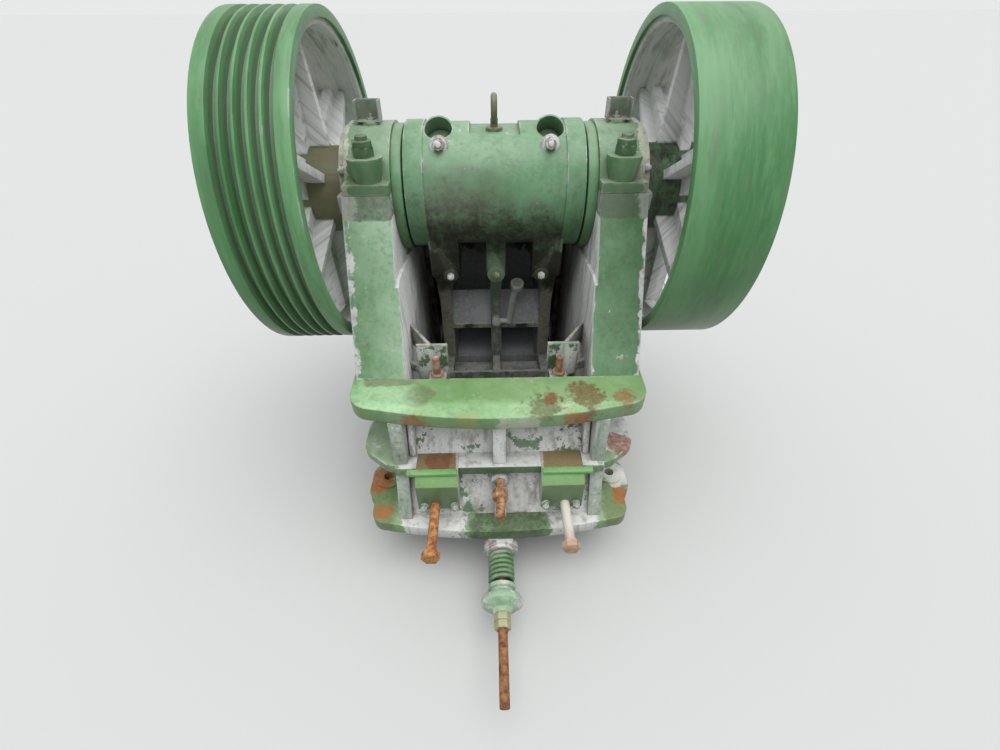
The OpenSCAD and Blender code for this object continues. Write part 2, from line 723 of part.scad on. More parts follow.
// Two long bolts with hexagon heads that run through the rear wall and push the toggle block
module adjusting_bolts() {
    inner = rear_y(toggle_z - bolt_d / 2) + rear_wall_t - running_gap;
    color("peru") for (sx = [-1, 1]) {
        x = sx * bolt_half_x;
        out = bolt_out - (sx > 0 ? bolt_less : 0);
        bar_y(-block_rear - out + 16, inner, bolt_d, x, toggle_z);
        hex_y(-block_rear - out, -block_rear - out + 16, 38, x, toggle_z);
    }
}

// Short threaded bolt in the middle of the rear wall, with a nut outside
module centre_bolt() {
    face = rear_y(centre_z);
    color("peru") {
        bar_y(face - 132, rear_y(centre_z - centre_d / 2) + rear_wall_t - running_gap, centre_d, 0, centre_z);
        hex_y(face - 80, face - 54, 34, 0, centre_z);
    }
}

cup_y = -base_rear - cup_out;
cup_d = spring_d + 22;
collar_t = 8;

// Cup under the base flange that the tension spring bears on
module spring_cup() {
    color("silver") difference() {
        union() {
            bar_y(cup_y, cup_y + 24, cup_d, 0, rod_z);
            bar_y(cup_y - collar_t, cup_y, cup_d - 18, 0, rod_z);
            translate([-cup_d / 2 + 13, cup_y + 4, rod_z]) cube([cup_d - 26, 90, base_z - rod_z]);
        }
        translate([-cup_d, cup_y - 20, base_z]) cube([2 * cup_d, 120, cup_d]);
        bar_y(cup_y - 20, cup_y + 100, rod_d + 2 * running_gap, 0, rod_z);
    }
}

spring_y0 = cup_y - collar_t;

// One closed tube along a helix about the Y axis
module helix_spring() {
    sides = 8;
    steps = 18 * spring_turns;
    r = (spring_d - spring_wire) / 2;
    lead = spring_len - spring_wire;
    points = [for (i = [0:steps], k = [0:sides - 1])
        let(a = 360 * spring_turns * i / steps, b = 360 * k / sides, rr = r + spring_wire / 2 * cos(b))
        [rr * cos(a), -spring_wire / 2 - lead * i / steps - spring_wire / 2 * sin(b), rr * sin(a)]];
    walls = [for (i = [0:steps - 1], k = [0:sides - 1]) [i * sides + k, i * sides + (k + 1) % sides,
        (i + 1) * sides + (k + 1) % sides, (i + 1) * sides + k]];
    ends = [[for (k = [sides - 1:-1:0]) k], [for (k = [0:sides - 1]) steps * sides + k]];
    polyhedron(points, concat(walls, ends));
}

module tension_spring() {
    color("darkgreen") translate([0, spring_y0 - 0.3, rod_z]) helix_spring();
}

seat_y = spring_y0 - spring_len - 0.6;
seat_len = 68;

// Turned seat at the outer end of the spring: a collar, a broad flange and a tapered neck
module spring_seat() {
    bore = rod_d / 2 + running_gap;
    color("mediumseagreen") translate([0, seat_y, rod_z]) rotate([90, 0, 0]) rotate_extrude($fn = 96)
        polygon([[bore, 0], [spring_d / 2, 0], [spring_d / 2, 10], [spring_d / 2 - 6, 13], [spring_d / 2 - 6, 22],
        [spring_d / 2 + 12, 28], [spring_d / 2 + 16, 34], [spring_d / 2 + 16, 46], [spring_d / 2 + 4, 54],
        [spring_d / 2 - 8, 58], [spring_d / 2 - 14, seat_len], [bore, seat_len]]);
}

// Nut and lock nut that hold the spring seat
module rod_nuts() {
    face = seat_y - seat_len;
    color("darkkhaki") difference() {
        union() {
            hex_y(face - 17, face, 34, 0, rod_z);
            hex_y(face - 35, face - 18, 34, 0, rod_z);
        }
        bar_y(face - 40, face + 5, rod_d + 2 * running_gap, 0, rod_z);
    }
}

lug_y = 120;
lug_r = 44;
pin_r = 12;
lug_hole_r = pin_r + throw + seat_gap;
fork_y = lug_y - lug_r - throw - seat_gap;

// Tension rod with a fork and pin at the swing jaw's lower end
module tension_rod() {
    ear = 12;
    ear_in = 22;
    high = 44;
    color("peru") union() {
        bar_y(-rod_rear, fork_y - 20, rod_d, 0, rod_z);
        translate([-ear_in - ear, fork_y - 24, rod_z - high / 2]) cube([2 * (ear_in + ear), 24, high]);
        for (sx = [-1, 1]) on_side(sx) translate([ear_in, fork_y - 10, rod_z - high / 2])
            cube([ear, lug_y + 22 - fork_y + 10, high]);
        bar_x(-ear_in - ear, ear_in + ear, 2 * pin_r, lug_y, rod_z);
    }
}

// Stepped shaft whose middle is an eccentric journal
module eccentric_shaft() {
    color("gray") union() {
        bar_x(-wheel_out - 20, wheel_out + 20, shaft_d, 0, shaft_z);
        bar_x(-barrel_half + 2, barrel_half - 2, eccentric_d, 0, barrel_z);
    }
}

// Section of a wheel rim without its grooves, in (radius, width), with a lip inside each edge
module rim_section() {
    r = wheel_r;
    mid = wheel_w / 2;
    half = [[r, 0], [r - rim_edge_t, 0], [r - rim_edge_t, 8], [r - rim_lip, 11], [r - rim_lip, 23],
        [r - rim_mid_t, 28], [r - rim_mid_t, mid - 22], [r - rim_mid_t - 24, mid - 14]];
    polygon(concat(half, [for (i = [len(half) - 1:-1:0]) [half[i][0], wheel_w - half[i][1]]]));
}

// Belt grooves cut in the rim, centred on its width
module groove_sections() {
    first = wheel_w / 2 - groove_pitch * (groove_count - 1) / 2;
    for (i = [0:groove_count - 1]) let(c = first + i * groove_pitch)
        polygon([[wheel_r + 1, c - groove_mouth / 2], [wheel_r + 1, c + groove_mouth / 2],
            [wheel_r - groove_deep, c + groove_root / 2], [wheel_r - groove_deep, c - groove_root / 2]]);
}

// Arms, rim and hub of a wheel, built about Z with its inner face at Z = 0
module wheel(grooved) {
    mid = wheel_w / 2;
    hub_r = hub_d / 2;
    reach = wheel_r - rim_mid_t - 4;
    difference() {
        union() {
            rotate_extrude($fn = 180) difference() {
                rim_section();
                if (grooved) groove_sections();
            }
            translate([0, 0, -6]) cylinder(h = wheel_w + 12, r = hub_r, $fn = 96);
            for (i = [0:arm_count - 1]) rotate(i * 360 / arm_count) {
                translate([0, 0, mid - arm_t / 2]) linear_extrude(height = arm_t) polygon([[hub_r - 20, -arm_w / 2],
                    [reach, -arm_w / 2 + 14], [reach, arm_w / 2 - 14], [hub_r - 20, arm_w / 2]]);
                translate([0, 10, mid]) rotate([90, 0, 0]) linear_extrude(height = 20) polygon([[hub_r - 20, -58],
                    [reach, -36], [reach, 36], [hub_r - 20, 58]]);
            }
        }
        translate([0, 0, -10]) cylinder(h = wheel_w + 30, d = shaft_d + 0.2, $fn = 72);
    }
}

module pulley_flywheel() {
    color("mediumseagreen") translate([-wheel_in, 0, shaft_z]) rotate([0, -90, 0]) wheel(true);
}

module plain_flywheel() {
    color("mediumseagreen") translate([wheel_in, 0, shaft_z]) rotate([0, 90, 0]) wheel(false);
}

// The pitman's ribs end in an upright rear edge under the shaft
rib_rear_y = 2;
box_top = shaft_z - box_top_drop;
box_low = shaft_z - box_low_drop;
leg_top = shaft_z - 60;
leg_low = shaft_z - 220;
boss_drop = 192;
side_boss_x = 120;
pitman_half = side_rib_in + side_rib_w;

// Outline of a pitman rib seen along the shaft, from the barrel to the toggle box
module rib_outline() {
    web_y_top = (jaw_back - web_t / 2) / cos(jaw_angle);
    web_y_low = web_y_top + (barrel_z - box_top) * tan(jaw_angle);
    polygon([[-100, leg_top], [-90, leg_top - 110], [rib_rear_y, shaft_z - panel_top_drop], [rib_rear_y, box_top],
        [web_y_low, box_top], [web_y_top, barrel_z - 10]]);
}

// Outline of the thick upper leg in front of a rib, rounded off at its foot
module leg_outline() {
    polygon([[-112, leg_top], [-97, leg_low + 40], [-88, leg_low + 16], [-68, leg_low], [-30, leg_low], [0, leg_top - 40]]);
}

// Puts children on the axis of a bolt pocket, with Z along it to the rear and up
module pocket_place() {
    for (sx = [-1, 1]) translate([sx * pocket_x, 0, shaft_z + 101]) rotate([45, 0, 0]) children();
}

module pitman() {
    bore = eccentric_d + 2 * running_gap;
    slot_gap = toggle_t / 2 + seat_gap;
    color("seagreen") union() {
        difference() {
            union() {
                bar_x(-barrel_half, barrel_half, 2 * barrel_r, 0, barrel_z);
                for (sx = [-1, 1]) on_side(sx) bar_x(barrel_half - band_w, barrel_half, 2 * band_r, 0, barrel_z);
                pocket_place() translate([0, 0, 12]) cylinder(h = 50, d = pocket_d + 2 * pocket_wall, $fn = 64);
                jaw_frame() translate([-jaw_w / 2, jaw_back - web_t, moving_top - moving_len])
                    cube([jaw_w, web_t, moving_len - 40]);
                for (sx = [-1, 1]) on_side(sx) {
                    along_x(side_rib_in, pitman_half) rib_outline();
                    along_x(side_rib_in - 37, pitman_half + 4) leg_outline();
                    bar_y(-112, -40, 40, side_boss_x, shaft_z - boss_drop);
                }
                bar_y(-116, -40, 46, 0, shaft_z - boss_drop + 4);
                along_x(-mid_rib_w / 2, mid_rib_w / 2) rib_outline();
                along_x(-25, 25) leg_outline();
                along_x(-side_rib_in - 1, side_rib_in + 1) cross_panel();
                along_x(-pitman_half, pitman_half) polygon([[rib_rear_y, box_low], [rib_rear_y, box_top],
                    [330, box_top], [310, box_low]]);
                along_x(-14, 14) rod_lug();
            }
            bar_x(-barrel_half - 1, barrel_half + 1, bore, 0, barrel_z);
            jaw_frame() translate([-jaw_w / 2 - 30, jaw_back, -moving_len]) cube([jaw_w + 60, 80, moving_len + 140]);
            translate([-notch_w / 2, -70, barrel_z + barrel_r - notch_deep]) cube([notch_w, 150, 40]);
            pocket_place() translate([0, 0, 14]) cylinder(h = 120, d = pocket_d, $fn = 64);
            along_x(-toggle_w / 2 - 8, toggle_w / 2 + 8) polygon([[-40, toggle_z - slot_gap],
                [toggle_front_y + slot_gap + throw, toggle_z - slot_gap],
                [toggle_front_y + slot_gap + throw, toggle_z + slot_gap + 2 * throw],
                [-40, toggle_z + slot_gap + 2 * throw]]);
        }
        pocket_place() translate([0, 0, 13]) cylinder(h = 9, d = pocket_d - 14, $fn = 48);
    }
}

// Outline of the curved panel between the ribs, with a lip along its lower edge
module cross_panel() {
    top = shaft_z - panel_top_drop;
    low = shaft_z - panel_low_drop;
    polygon([[62, top + 4], [40, top - 16], [24, top - 38], [14, top - 62], [10, low + 16], [rib_rear_y + 2, low + 12],
        [rib_rear_y + 2, low], [30, low - 8], [92, top - 36]]);
}

// Outline of the lug that hangs from the toggle box round the pin of the tension rod
module rod_lug() {
    z = rod_z + throw;
    difference() {
        union() {
            translate([lug_y, z]) circle(r = lug_r, $fn = 64);
            translate([lug_y - lug_r, z]) square([2 * lug_r, box_low + 5 - z]);
        }
        translate([lug_y, z]) circle(r = lug_hole_r, $fn = 48);
    }
}

// Lifting eye on the flat at the top of the barrel
module eye_bolt() {
    z = barrel_z + barrel_r - notch_deep;
    color("olive") translate([0, -10, z]) {
        cylinder(h = 8, d = 40, $fn = 48);
        cylinder(h = 26, d = 18, $fn = 32);
        translate([0, 0, 47]) rotate([0, 90, 0]) rotate_extrude($fn = 60) translate([24, 0]) circle(d = 15, $fn = 20);
    }
}

// Bent steel grease pipe with a cupped end, fixed to the middle rib
module grease_pipe() {
    y = -14;
    root_z = shaft_z - 397;
    color("silver") {
        bar_y(-26, rib_rear_y - 0.3, 26, 0, root_z);
        bar_x(0, 46, 18, y, root_z);
        translate([39, y, root_z - 6]) rotate([0, 8, 0]) cylinder(h = 106, d = 20, $fn = 32);
        translate([53, y, root_z + 92]) rotate([0, 19, 0]) cylinder(h = 30, d = 22, $fn = 32);
        translate([62, y, root_z + 116]) rotate([24, 0, 0]) difference() {
            cylinder(h = 18, d = 38, $fn = 48);
            translate([0, 0, 7]) cylinder(h = 20, d = 25, $fn = 48);
        }
    }
}

bearer_left();
bearer_right();
base_flange();
side_wall_left();
side_wall_right();
front_wall();
rear_wall();
rear_beam();
mid_flange();
upper_rear_ribs();
lower_rear_ribs();
bearing_cap_left();
bearing_cap_right();
cap_studs_left();
cap_studs_right();
seal_ring_left();
seal_ring_right();
grease_guard_left();
grease_guard_right();
fixed_jaw_plate();
cheek_plate_left();
cheek_plate_right();
lug_bracket_left();
lug_bracket_right();
toggle_block();
adjusting_block_left();
adjusting_block_right();
shim_plates();
adjusting_bolts();
centre_bolt();
toggle_plate();
spring_cup();
tension_spring();
spring_seat();
rod_nuts();
tension_rod();
eccentric_shaft();
pulley_flywheel();
plain_flywheel();
pitman();
moving_jaw_plate();
eye_bolt();
grease_pipe();
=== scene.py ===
import json
from math import radians

import bmesh
import bpy
from mathutils import Matrix, Vector


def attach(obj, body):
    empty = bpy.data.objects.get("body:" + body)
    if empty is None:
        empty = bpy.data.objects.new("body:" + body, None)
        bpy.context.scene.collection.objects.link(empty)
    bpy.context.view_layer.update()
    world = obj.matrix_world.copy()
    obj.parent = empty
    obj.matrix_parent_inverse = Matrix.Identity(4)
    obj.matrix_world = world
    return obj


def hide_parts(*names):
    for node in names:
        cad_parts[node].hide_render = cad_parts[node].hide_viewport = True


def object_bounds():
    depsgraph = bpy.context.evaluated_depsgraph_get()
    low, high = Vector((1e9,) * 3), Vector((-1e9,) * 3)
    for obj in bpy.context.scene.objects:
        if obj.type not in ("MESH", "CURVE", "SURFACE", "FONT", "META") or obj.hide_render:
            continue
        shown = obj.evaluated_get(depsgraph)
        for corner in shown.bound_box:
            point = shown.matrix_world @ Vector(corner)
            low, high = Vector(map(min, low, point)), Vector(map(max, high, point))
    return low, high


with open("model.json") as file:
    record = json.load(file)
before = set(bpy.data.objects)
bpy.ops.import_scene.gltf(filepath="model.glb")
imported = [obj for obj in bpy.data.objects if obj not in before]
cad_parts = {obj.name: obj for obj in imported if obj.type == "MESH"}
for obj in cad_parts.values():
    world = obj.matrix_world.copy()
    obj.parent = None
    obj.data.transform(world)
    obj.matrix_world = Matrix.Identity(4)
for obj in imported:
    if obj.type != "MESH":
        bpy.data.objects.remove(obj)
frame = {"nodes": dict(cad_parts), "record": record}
cad_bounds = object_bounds()
scene = bpy.context.scene

# Camera and light.
# The photograph was taken from behind the toggle end, a little above the wheels, with a short
# lens that looks down on the machine. Lengths are metres from here on.
shaft_height = 0.710
camera = bpy.data.objects.new("camera", bpy.data.cameras.new("camera"))
camera.data.lens = 16.81
camera.data.sensor_width = 36.0
camera.data.clip_start = 0.02
camera.location = (-0.0123, -1.2462, shaft_height + 0.3839)
camera.rotation_euler = (0.8901, 0.0041, -0.0221)
scene.collection.objects.link(camera)
scene.camera = camera
scene.view_settings.view_transform = "Standard"


def linear(code):
    """Turns an sRGB hex code such as 5E9A6B into the linear colour that the shaders read."""
    parts = [int(code[i:i + 2], 16) / 255 for i in (0, 2, 4)]
    return tuple(c / 12.92 if c <= 0.04045 else ((c + 0.055) / 1.055) ** 2.4 for c in parts) + (1.0,)


def add(tree, kind, values=None, links=None, **settings):
    """Adds one node and sets its options and socket values. A link comes from a socket or a node's first output."""
    node = tree.nodes.new(kind)
    for key, value in settings.items():
        setattr(node, key, value)
    for key, value in (values or {}).items():
        node.inputs[key].default_value = value
    for key, source in (links or {}).items():
        tree.links.new(getattr(source, "outputs", [source])[0], node.inputs[key])
    return node


# An overcast sky, brightest overhead and darker near the ground, and one broad lamp behind it.
# What the camera sees of it is plain and pale, like the floor.
world = bpy.data.worlds.new("overcast sky")
scene.world = world
world.use_nodes = True
tree = world.node_tree
way = add(tree, "ShaderNodeTexCoord").outputs["Generated"]
height = add(tree, "ShaderNodeSeparateXYZ", links={"Vector": way}).outputs["Z"]
height = add(tree, "ShaderNodeMapRange", {"From Min": -1.0}, {"Value": height})
glow = add(tree, "ShaderNodeValToRGB", links={"Fac": height})
glow.color_ramp.elements[0].position = 0.46
glow.color_ramp.elements[0].color = linear("3C3E38")
glow.color_ramp.elements[1].position = 0.95
glow.color_ramp.elements[1].color = linear("F2F6FF")
glow.color_ramp.elements.new(0.56).color = linear("7F837D")
glow.color_ramp.elements.new(0.74).color = linear("CDD2D6")
rays = add(tree, "ShaderNodeLightPath").outputs
seen = rays["Is Camera Ray"]
for other in ("Is Glossy Ray", "Is Transmission Ray"):
    seen = add(tree, "ShaderNodeMath", links={0: seen, 1: rays[other]}, operation="MAXIMUM")
sky = add(tree, "ShaderNodeMixRGB", {"Color2": linear("E8E9E9")}, {"Fac": seen, "Color1": glow})
power = add(tree, "ShaderNodeMapRange", {"To Min": 1.35, "To Max": 1.0}, {"Value": seen})
tree.links.new(sky.outputs[0], tree.nodes["Background"].inputs["Color"])
tree.links.new(power.outputs[0], tree.nodes["Background"].inputs["Strength"])
sky_lamp = bpy.data.objects.new("sky_lamp", bpy.data.lights.new("sky_lamp", "SUN"))
sky_lamp.data.energy = 1.7
sky_lamp.data.angle = radians(60)
sky_lamp.rotation_euler = (radians(12), radians(8), 0)
scene.collection.objects.link(sky_lamp)

# Plain pale floor under the bearers, which throws back no more light than dusty concrete
floor_reach, floor_gap = 60, 0.0005
floor_mesh = bmesh.new()
bmesh.ops.create_grid(floor_mesh, x_segments=1, y_segments=1, size=floor_reach)
bmesh.ops.translate(floor_mesh, verts=floor_mesh.verts, vec=(0, 0, cad_bounds[0][2] - floor_gap))
floor = bpy.data.objects.new("floor", bpy.data.meshes.new("floor"))
floor_mesh.to_mesh(floor.data)
floor_mesh.free()
scene.collection.objects.link(floor)
pale = bpy.data.materials.new("pale matt floor")
pale.use_nodes = True
tree = pale.node_tree
rays = add(tree, "ShaderNodeLightPath").outputs
seen = rays["Is Camera Ray"]
for other in ("Is Glossy Ray", "Is Transmission Ray"):
    seen = add(tree, "ShaderNodeMath", links={0: seen, 1: rays[other]}, operation="MAXIMUM")
tone = add(tree, "ShaderNodeMixRGB", {"Color1": linear("6B6964"), "Color2": linear("BFBEBA")}, {"Fac": seen})
tree.links.new(tone.outputs[0], tree.nodes["Principled BSDF"].inputs["Base Color"])
tree.nodes["Principled BSDF"].inputs["Roughness"].default_value = 0.9
floor.data.materials.append(pale)

# Timber bearers.
# Two squared softwood sleepers under the base flange, rough sawn, greyed by the weather and
# stained with oil. Their ends show end grain and their faces long shakes.


def finish_solid(node, material, width=0.0, segments=2, smooth=35, sharp_from=9.0):
    """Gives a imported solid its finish. With a width it stands in a copy whose edges are rounded off,
    but for those that lie further forward than sharp_from."""
    solid = frame["nodes"][node]
    if not width:
        solid.data.materials.clear()
        solid.data.materials.append(material)
        return solid
    shell = bmesh.new()
    shell.from_mesh(solid.data)
    bmesh.ops.remove_doubles(shell, verts=shell.verts, dist=2e-5)
    bmesh.ops.dissolve_limit(shell, angle_limit=radians(0.6), verts=shell.verts, edges=shell.edges,
                             delimit={"NORMAL"})
    sharp = [e for e in shell.edges if len(e.link_faces) == 2 and e.calc_face_angle(0) > radians(smooth)
             and (e.verts[0].co.y + e.verts[1].co.y) / 2 < sharp_from]
    bmesh.ops.bevel(shell, geom=sharp, offset=width, offset_type="OFFSET", segments=segments, profile=0.5,
                    affect="EDGES", clamp_overlap=True, material=-1, loop_slide=True)
    for face in shell.faces:
        face.smooth = True
    mesh = bpy.data.meshes.new(node + "_cast")
    shell.to_mesh(mesh)
    shell.free()
    mesh.set_sharp_from_angle(angle=radians(smooth))
    mesh.materials.append(material)
    piece = bpy.data.objects.new(node + "_cast", mesh)
    scene.collection.objects.link(piece)
    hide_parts(node)
    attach(piece, next(b for b, nodes in frame["record"]["behaviour"]["bodies"].items() if node in nodes))
    return piece


timber = bpy.data.materials.new("weathered sawn softwood")
timber.use_nodes = True
tree = timber.node_tree
place = add(tree, "ShaderNodeTexCoord").outputs["Object"]
# Growth rings of 6 mm run along the bearer, so the pattern is drawn out along Y. Real ones are finer
# and wouldn't show. Oil has soaked in over patches of 120 mm, and sawn wood is matt to the eye.
drawn = add(tree, "ShaderNodeMapping", {"Scale": (1, 0.03, 1)}, {"Vector": place}).outputs[0]
rings = add(tree, "ShaderNodeTexNoise", {"Scale": 1 / 0.006, "Detail": 6, "Roughness": 0.7}, {"Vector": drawn})
stain = add(tree, "ShaderNodeTexNoise", {"Scale": 1 / 0.12, "Detail": 4}, {"Vector": place})
grain = add(tree, "ShaderNodeValToRGB", links={"Fac": rings.outputs["Fac"]})
grain.color_ramp.elements[0].position = 0.35
grain.color_ramp.elements[0].color = linear("5B4C3C")
grain.color_ramp.elements[1].position = 0.65
grain.color_ramp.elements[1].color = linear("978874")
oil = add(tree, "ShaderNodeMapRange", {"From Min": 0.5, "From Max": 0.68}, {"Value": stain.outputs["Fac"]})
wood = add(tree, "ShaderNodeMixRGB", {"Color2": linear("453A2E")}, {"Fac": oil, "Color1": grain})
relief = add(tree, "ShaderNodeBump", {"Strength": 0.5, "Distance": 0.002}, {"Height": rings.outputs["Fac"]})
surface = tree.nodes["Principled BSDF"]
surface.inputs["Roughness"].default_value = 0.85
tree.links.new(wood.outputs[0], surface.inputs["Base Color"])
tree.links.new(relief.outputs[0], surface.inputs["Normal"])
for name in ("bearer_left", "bearer_right"):
    finish_solid(name, timber, 0.003)

# Base flange.
# Iron casting, planed underneath, with a raised pad round each anchor hole. It has grey primer
# and green enamel that was brushed and sprayed on, is chipped at the edges and bleeds rust.


def region(tree, place, conditions):
    """Share from 0 to 1 of a place on the machine. Each condition is (measure, where it starts, where it is full);
    the measure is an axis, side for the distance from the middle, shaft for the distance from the shaft,
    facing and an axis for the way the surface faces, or a point."""
    axes = add(tree, "ShaderNodeSeparateXYZ", links={"Vector": place}).outputs
    share = None
    for measure, start, full in conditions:
        if measure == "side":
            value = add(tree, "ShaderNodeMath", links={0: axes["X"]}, operation="ABSOLUTE")
        elif measure == "shaft":
            across = add(tree, "ShaderNodeCombineXYZ", links={"Y": axes["Y"], "Z": axes["Z"]})
            value = add(tree, "ShaderNodeVectorMath", {1: (0, 0, shaft_height)}, {0: across}, operation="DISTANCE")
            value = value.outputs["Value"]
        elif isinstance(measure, tuple):
            value = add(tree, "ShaderNodeVectorMath", {1: measure}, {0: place}, operation="DISTANCE").outputs["Value"]
        elif measure.startswith("facing"):
            normal = add(tree, "ShaderNodeNewGeometry").outputs["True Normal"]
            value = add(tree, "ShaderNodeSeparateXYZ", links={"Vector": normal}).outputs[measure[-1]]
        else:
            value = axes[measure]
        part = add(tree, "ShaderNodeMapRange", {"From Min": start, "From Max": full}, {"Value": value},
                   interpolation_type="SMOOTHSTEP")
        if share:
            part = add(tree, "ShaderNodeMath", links={0: share, 1: part}, operation="MULTIPLY")
        share = part
    return share


def enamel(name, fresh, faded, bare=0.35, rust=0.3, dust=0.35, gloss=0.4, flakes=(), stains_and_painted_light=(),
           coat="C2C2BE", grime="6E675B", turned=False):
    """Green machine enamel over grey primer on cast iron: chipped at edges, rusty where bare, dusty on top.
    bare, rust and dust are shares from 0 to 1. flakes are (conditions, more or less bare share) and
    stains_and_painted_light are (conditions, hex colour, strength) with, where the edge is soft, how soft: real
    stains and dirt, and on some parts painted shade and painted highlights. A turned piece was brushed while it
    turned, so its pattern runs round the shaft. To the eye the enamel is half glossy, the primer and the dust are
    matt, and flakes stand a little lower than the paint beside them."""
    paint = bpy.data.materials.new(name)
    paint.use_nodes = True
    tree = paint.node_tree
    place = add(tree, "ShaderNodeTexCoord").outputs["Object"]
    if turned:
        # The pattern is drawn out six times round the shaft
        from_shaft = add(tree, "ShaderNodeMapping", {"Location": (0, 0, -shaft_height), "Scale": (0, 1, 1)},
                         {"Vector": place})
        away = add(tree, "ShaderNodeVectorMath", links={0: from_shaft}, operation="NORMALIZE")
        bunched = add(tree, "ShaderNodeMapping", {"Scale": (0, 0.06, 0.06)}, {"Vector": away})
        radius = add(tree, "ShaderNodeVectorMath", links={0: from_shaft}, operation="LENGTH").outputs["Value"]
        sideways = add(tree, "ShaderNodeSeparateXYZ", links={"Vector": place}).outputs["X"]
        along = add(tree, "ShaderNodeMath", links={0: sideways, 1: radius}, operation="ADD")
        along = add(tree, "ShaderNodeCombineXYZ", links={"X": along})
        brushed = drawn = add(tree, "ShaderNodeVectorMath", links={0: bunched, 1: along}, operation="ADD")
    else:
        brushed = place
        drawn = add(tree, "ShaderNodeMapping", {"Scale": (1, 1, 0.12)}, {"Vector": place})

    # Cloudy fading about 180 mm across, flakes about 50 mm, chips of 12 mm, runs of dirt 22 mm wide that
    # rain drew down the sides, and the sandy skin of the casting, coarser than the real one so that it shows
    cloud, flake, speck, runs, skin = (
        add(tree, "ShaderNodeTexNoise", {"Scale": 1 / grain, "Detail": detail, "Roughness": rough}, {"Vector": vector})
        for grain, detail, rough, vector in (
            (0.18, 5, 0.6, brushed), (0.05, 10, 0.66, brushed), (0.012, 7, 0.7, brushed), (0.022, 6, 0.6, drawn),
            (0.0032, 3, 0.6, brushed)))
    dirty = add(tree, "ShaderNodeMath", links={0: runs, 1: speck}, operation="ADD")
    blotchy = add(tree, "ShaderNodeMath", links={0: flake, 1: speck}, operation="ADD")
    # Edges are found by how far a normal rounded over 9 mm turns away from the true one
    bent = add(tree, "ShaderNodeBevel", {"Radius": 0.009}, samples=4)
    true = add(tree, "ShaderNodeNewGeometry").outputs["True Normal"]
    even = add(tree, "ShaderNodeVectorMath", links={0: bent, 1: true}, operation="DOT_PRODUCT").outputs["Value"]
    # Ambient occlusion over 60 mm finds the corners that are darkened below: painted shade
    corner = add(tree, "ShaderNodeAmbientOcclusion", {"Distance": 0.06}, samples=4).outputs["AO"]
    upward = add(tree, "ShaderNodeSeparateXYZ", links={"Vector": true}).outputs["Z"]

    # What each pattern does: where it starts, where it is full, and what it gives at these two
    chip = 0.70 - 0.05 * rust
    share = {}
    for part, pattern, start, full, least, most in (
            ("chipped edge", even, 0.985, 0.74, 0.0, 0.17), ("cloudy wear", cloud, 0.2, 0.8, -0.09, 0.09),
            ("rain wear", runs, 0.25, 0.75, -0.05, 0.05), ("fine wear", speck, 0.25, 0.75, -0.07, 0.07),
            ("fading", cloud, 0.35, 0.65, 0.0, 1.0), ("faded runs", runs, 0.50, 0.70, 0.0, 0.4),
            ("faded specks", speck, 0.50, 0.66, 0.0, 0.3), ("deep blotches", blotchy, 0.98, 0.84, 0.0, 0.2),
            ("dirt", dirty, 0.92, 0.76, 0.0, 0.35), ("primer runs", runs, 0.5, 0.8, 0.0, 1.0),
            ("primer specks", speck, 0.56, 0.7, 0.0, 0.6), ("iron", speck, 0.4, 0.6, 0.0, 1.0),
            ("chips", speck, chip, chip + 0.015, 0.0, 1.0), ("lying dust", upward, 0.5, 0.97, 0.0, dust),
            ("dusty flakes", flake, 0.35, 0.6, 0.2, 1.0), ("ragged", dirty, 0.7, 1.3, -0.13, 0.13),
            ("uneven", speck, 0.34, 0.62, 0.62, 1.0), ("corners", corner, 0.75, 0.2, 0.0, 0.6),
            ("corner flakes", flake, 0.3, 0.55, 0.3, 1.0)):
        share[part] = add(tree, "ShaderNodeMapRange",
                          {"From Min": start, "From Max": full, "To Min": least, "To Max": most}, {"Value": pattern})

    # The higher the level, the more paint is gone: first to the primer and then to the iron
    level = flake
    for part in ("chipped edge", "cloudy wear", "rain wear", "fine wear"):
        level = add(tree, "ShaderNodeMath", links={0: level, 1: share[part]}, operation="ADD")
    limit = 0.78 - 0.36 * bare
    bite = max(limit, 0.5) + 0.2 - 0.16 * rust
    worn = add(tree, "ShaderNodeMapRange", {"From Min": bite, "From Max": bite + 0.015}, {"Value": level})
    for conditions, amount in flakes:
        here = add(tree, "ShaderNodeMapRange", {"To Max": amount}, {"Value": region(tree, place, conditions)})
        level = add(tree, "ShaderNodeMath", links={0: level, 1: here}, operation="ADD")
    flaked = add(tree, "ShaderNodeMapRange", {"From Min": limit, "From Max": limit + 0.008}, {"Value": level})
    thin = add(tree, "ShaderNodeMapRange", {"From Min": limit - 0.05, "From Max": limit, "To Max": 0.55},
               {"Value": level})

